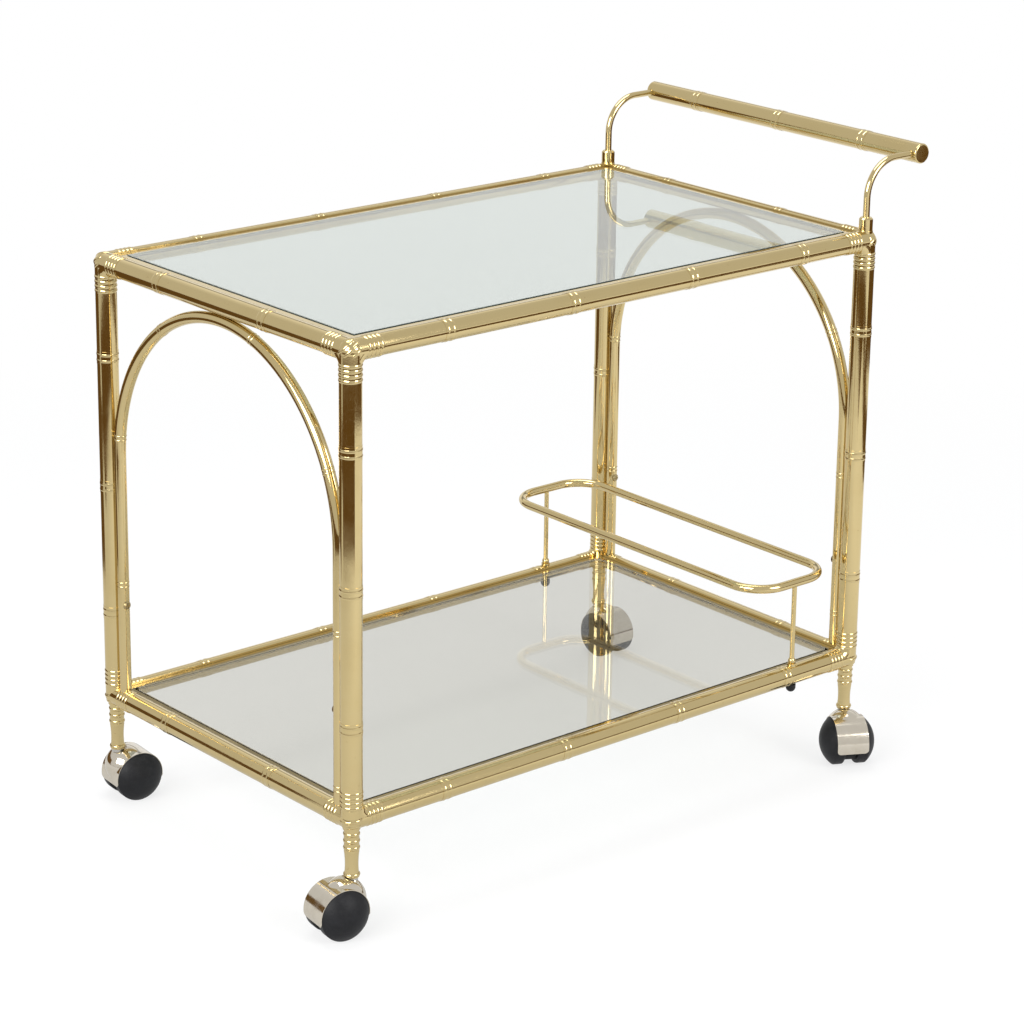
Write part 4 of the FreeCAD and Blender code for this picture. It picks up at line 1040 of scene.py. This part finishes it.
# %% Arches
ARCH_R, SPRING, ARCH_START = 170.15 * MM, 247 * MM, 9.2 * MM
ARCH_TUBE, ARCH_BEAD, ARCH_BEAD_RISE = 5.75 * MM, 1.8 * MM, 0.3 * MM
ARCH_PAIRS, ARCH_PAIR_GAP = 7, 4.2 * MM
# The outermost pairs of beads, measured along the tube from the lower rails in front and behind.
LEFT_PAIRS, RIGHT_PAIRS = (23.6 * MM, 119 * MM), (42.5 * MM, 108 * MM)


def at(x, y, z):
    """A point by its distance from the middle of the leg rectangle and its height."""
    return Vector((leg_middle.x + x, leg_middle.y + y, z))


axis_length = 2 * SPRING + math.pi * ARCH_R
for side, x, (front_pair, back_pair) in (("left", -end_x, LEFT_PAIRS), ("right", end_x, RIGHT_PAIRS)):
    foot, spring = rail_height + ARCH_START, rail_height + SPRING
    crown = spring + ARCH_R
    front_end, back_end = at(x, -ARCH_R, foot), at(x, ARCH_R, foot)
    front_spring, back_spring = at(x, -ARCH_R, spring), at(x, ARCH_R, spring)
    front_corner, back_corner = at(x, -ARCH_R, crown), at(x, ARCH_R, crown)
    line = chain([
        (front_end, None, None),
        (front_spring, None, front_corner),
        (at(x, 0, crown), front_corner, back_corner),
        (back_spring, back_corner, None),
        (back_end, None, None),
    ])
    bent_piece(
        "arch_" + side, [line], tube_radius=ARCH_TUBE, beaded=True, bead_radius=ARCH_BEAD,
        bead_path_radius=ARCH_TUBE + ARCH_BEAD_RISE - ARCH_BEAD, pair_gap=ARCH_PAIR_GAP,
        pairs=ARCH_PAIRS, first_pair=front_pair - ARCH_START,
        last_pair=axis_length - back_pair - ARCH_START,
    )

# %% [markdown]
# The bottle rail is a closed loop with four bends, level above the lower pane. Going round it, the line
# comes to every other corner along x, and to the corners between along y.

# %% Bottle rail
LOOP_IN, LOOP_UP = 78.2 * MM, 96.8 * MM
LOOP_HALF, LOOP_CORNER, LOOP_TUBE = 52 * MM, 34 * MM, 4.4 * MM
loop = []
for sx, sy, along_x in ((1, -1, True), (1, 1, False), (-1, 1, True), (-1, -1, False)):
    corner = at(end_x - LOOP_IN + sx * LOOP_HALF, sy * side_y, rail_height + LOOP_UP)
    on_x = corner - Vector((sx * LOOP_CORNER, 0, 0))
    on_y = corner - Vector((0, sy * LOOP_CORNER, 0))
    loop += bend(on_x, corner, on_y) if along_x else bend(on_y, corner, on_x)
bent_piece("bottle_rail", [chain(loop, closed=True)], tube_radius=LOOP_TUBE)

# %% [markdown]
# Each handle rod goes straight up out of its ferrule and makes one bend towards the handle tube. The
# two rods are one piece of the model, so their meshes are joined.

# %% Handle rods
ROD_UP, ROD_STRAIGHT, ROD_BEND = 2.4 * MM, 39.6 * MM, 36 * MM
ROD_REACH, ROD_TUBE = 67 * MM, 3.3 * MM
rods = []
for y in (-side_y, side_y):
    base = at(end_x, y, top_axis + ROD_UP)
    turn_in = base + Vector((0, 0, ROD_STRAIGHT))
    corner = turn_in + Vector((0, 0, ROD_BEND))
    tip = Vector((base.x + ROD_REACH, base.y, corner.z))
    rods.append(chain([
        (base, None, None),
        *bend(turn_in, corner, corner + Vector((ROD_BEND, 0, 0))),
        (tip, None, None),
    ]))
bent_piece("handle_arms", rods, tube_radius=ROD_TUBE)
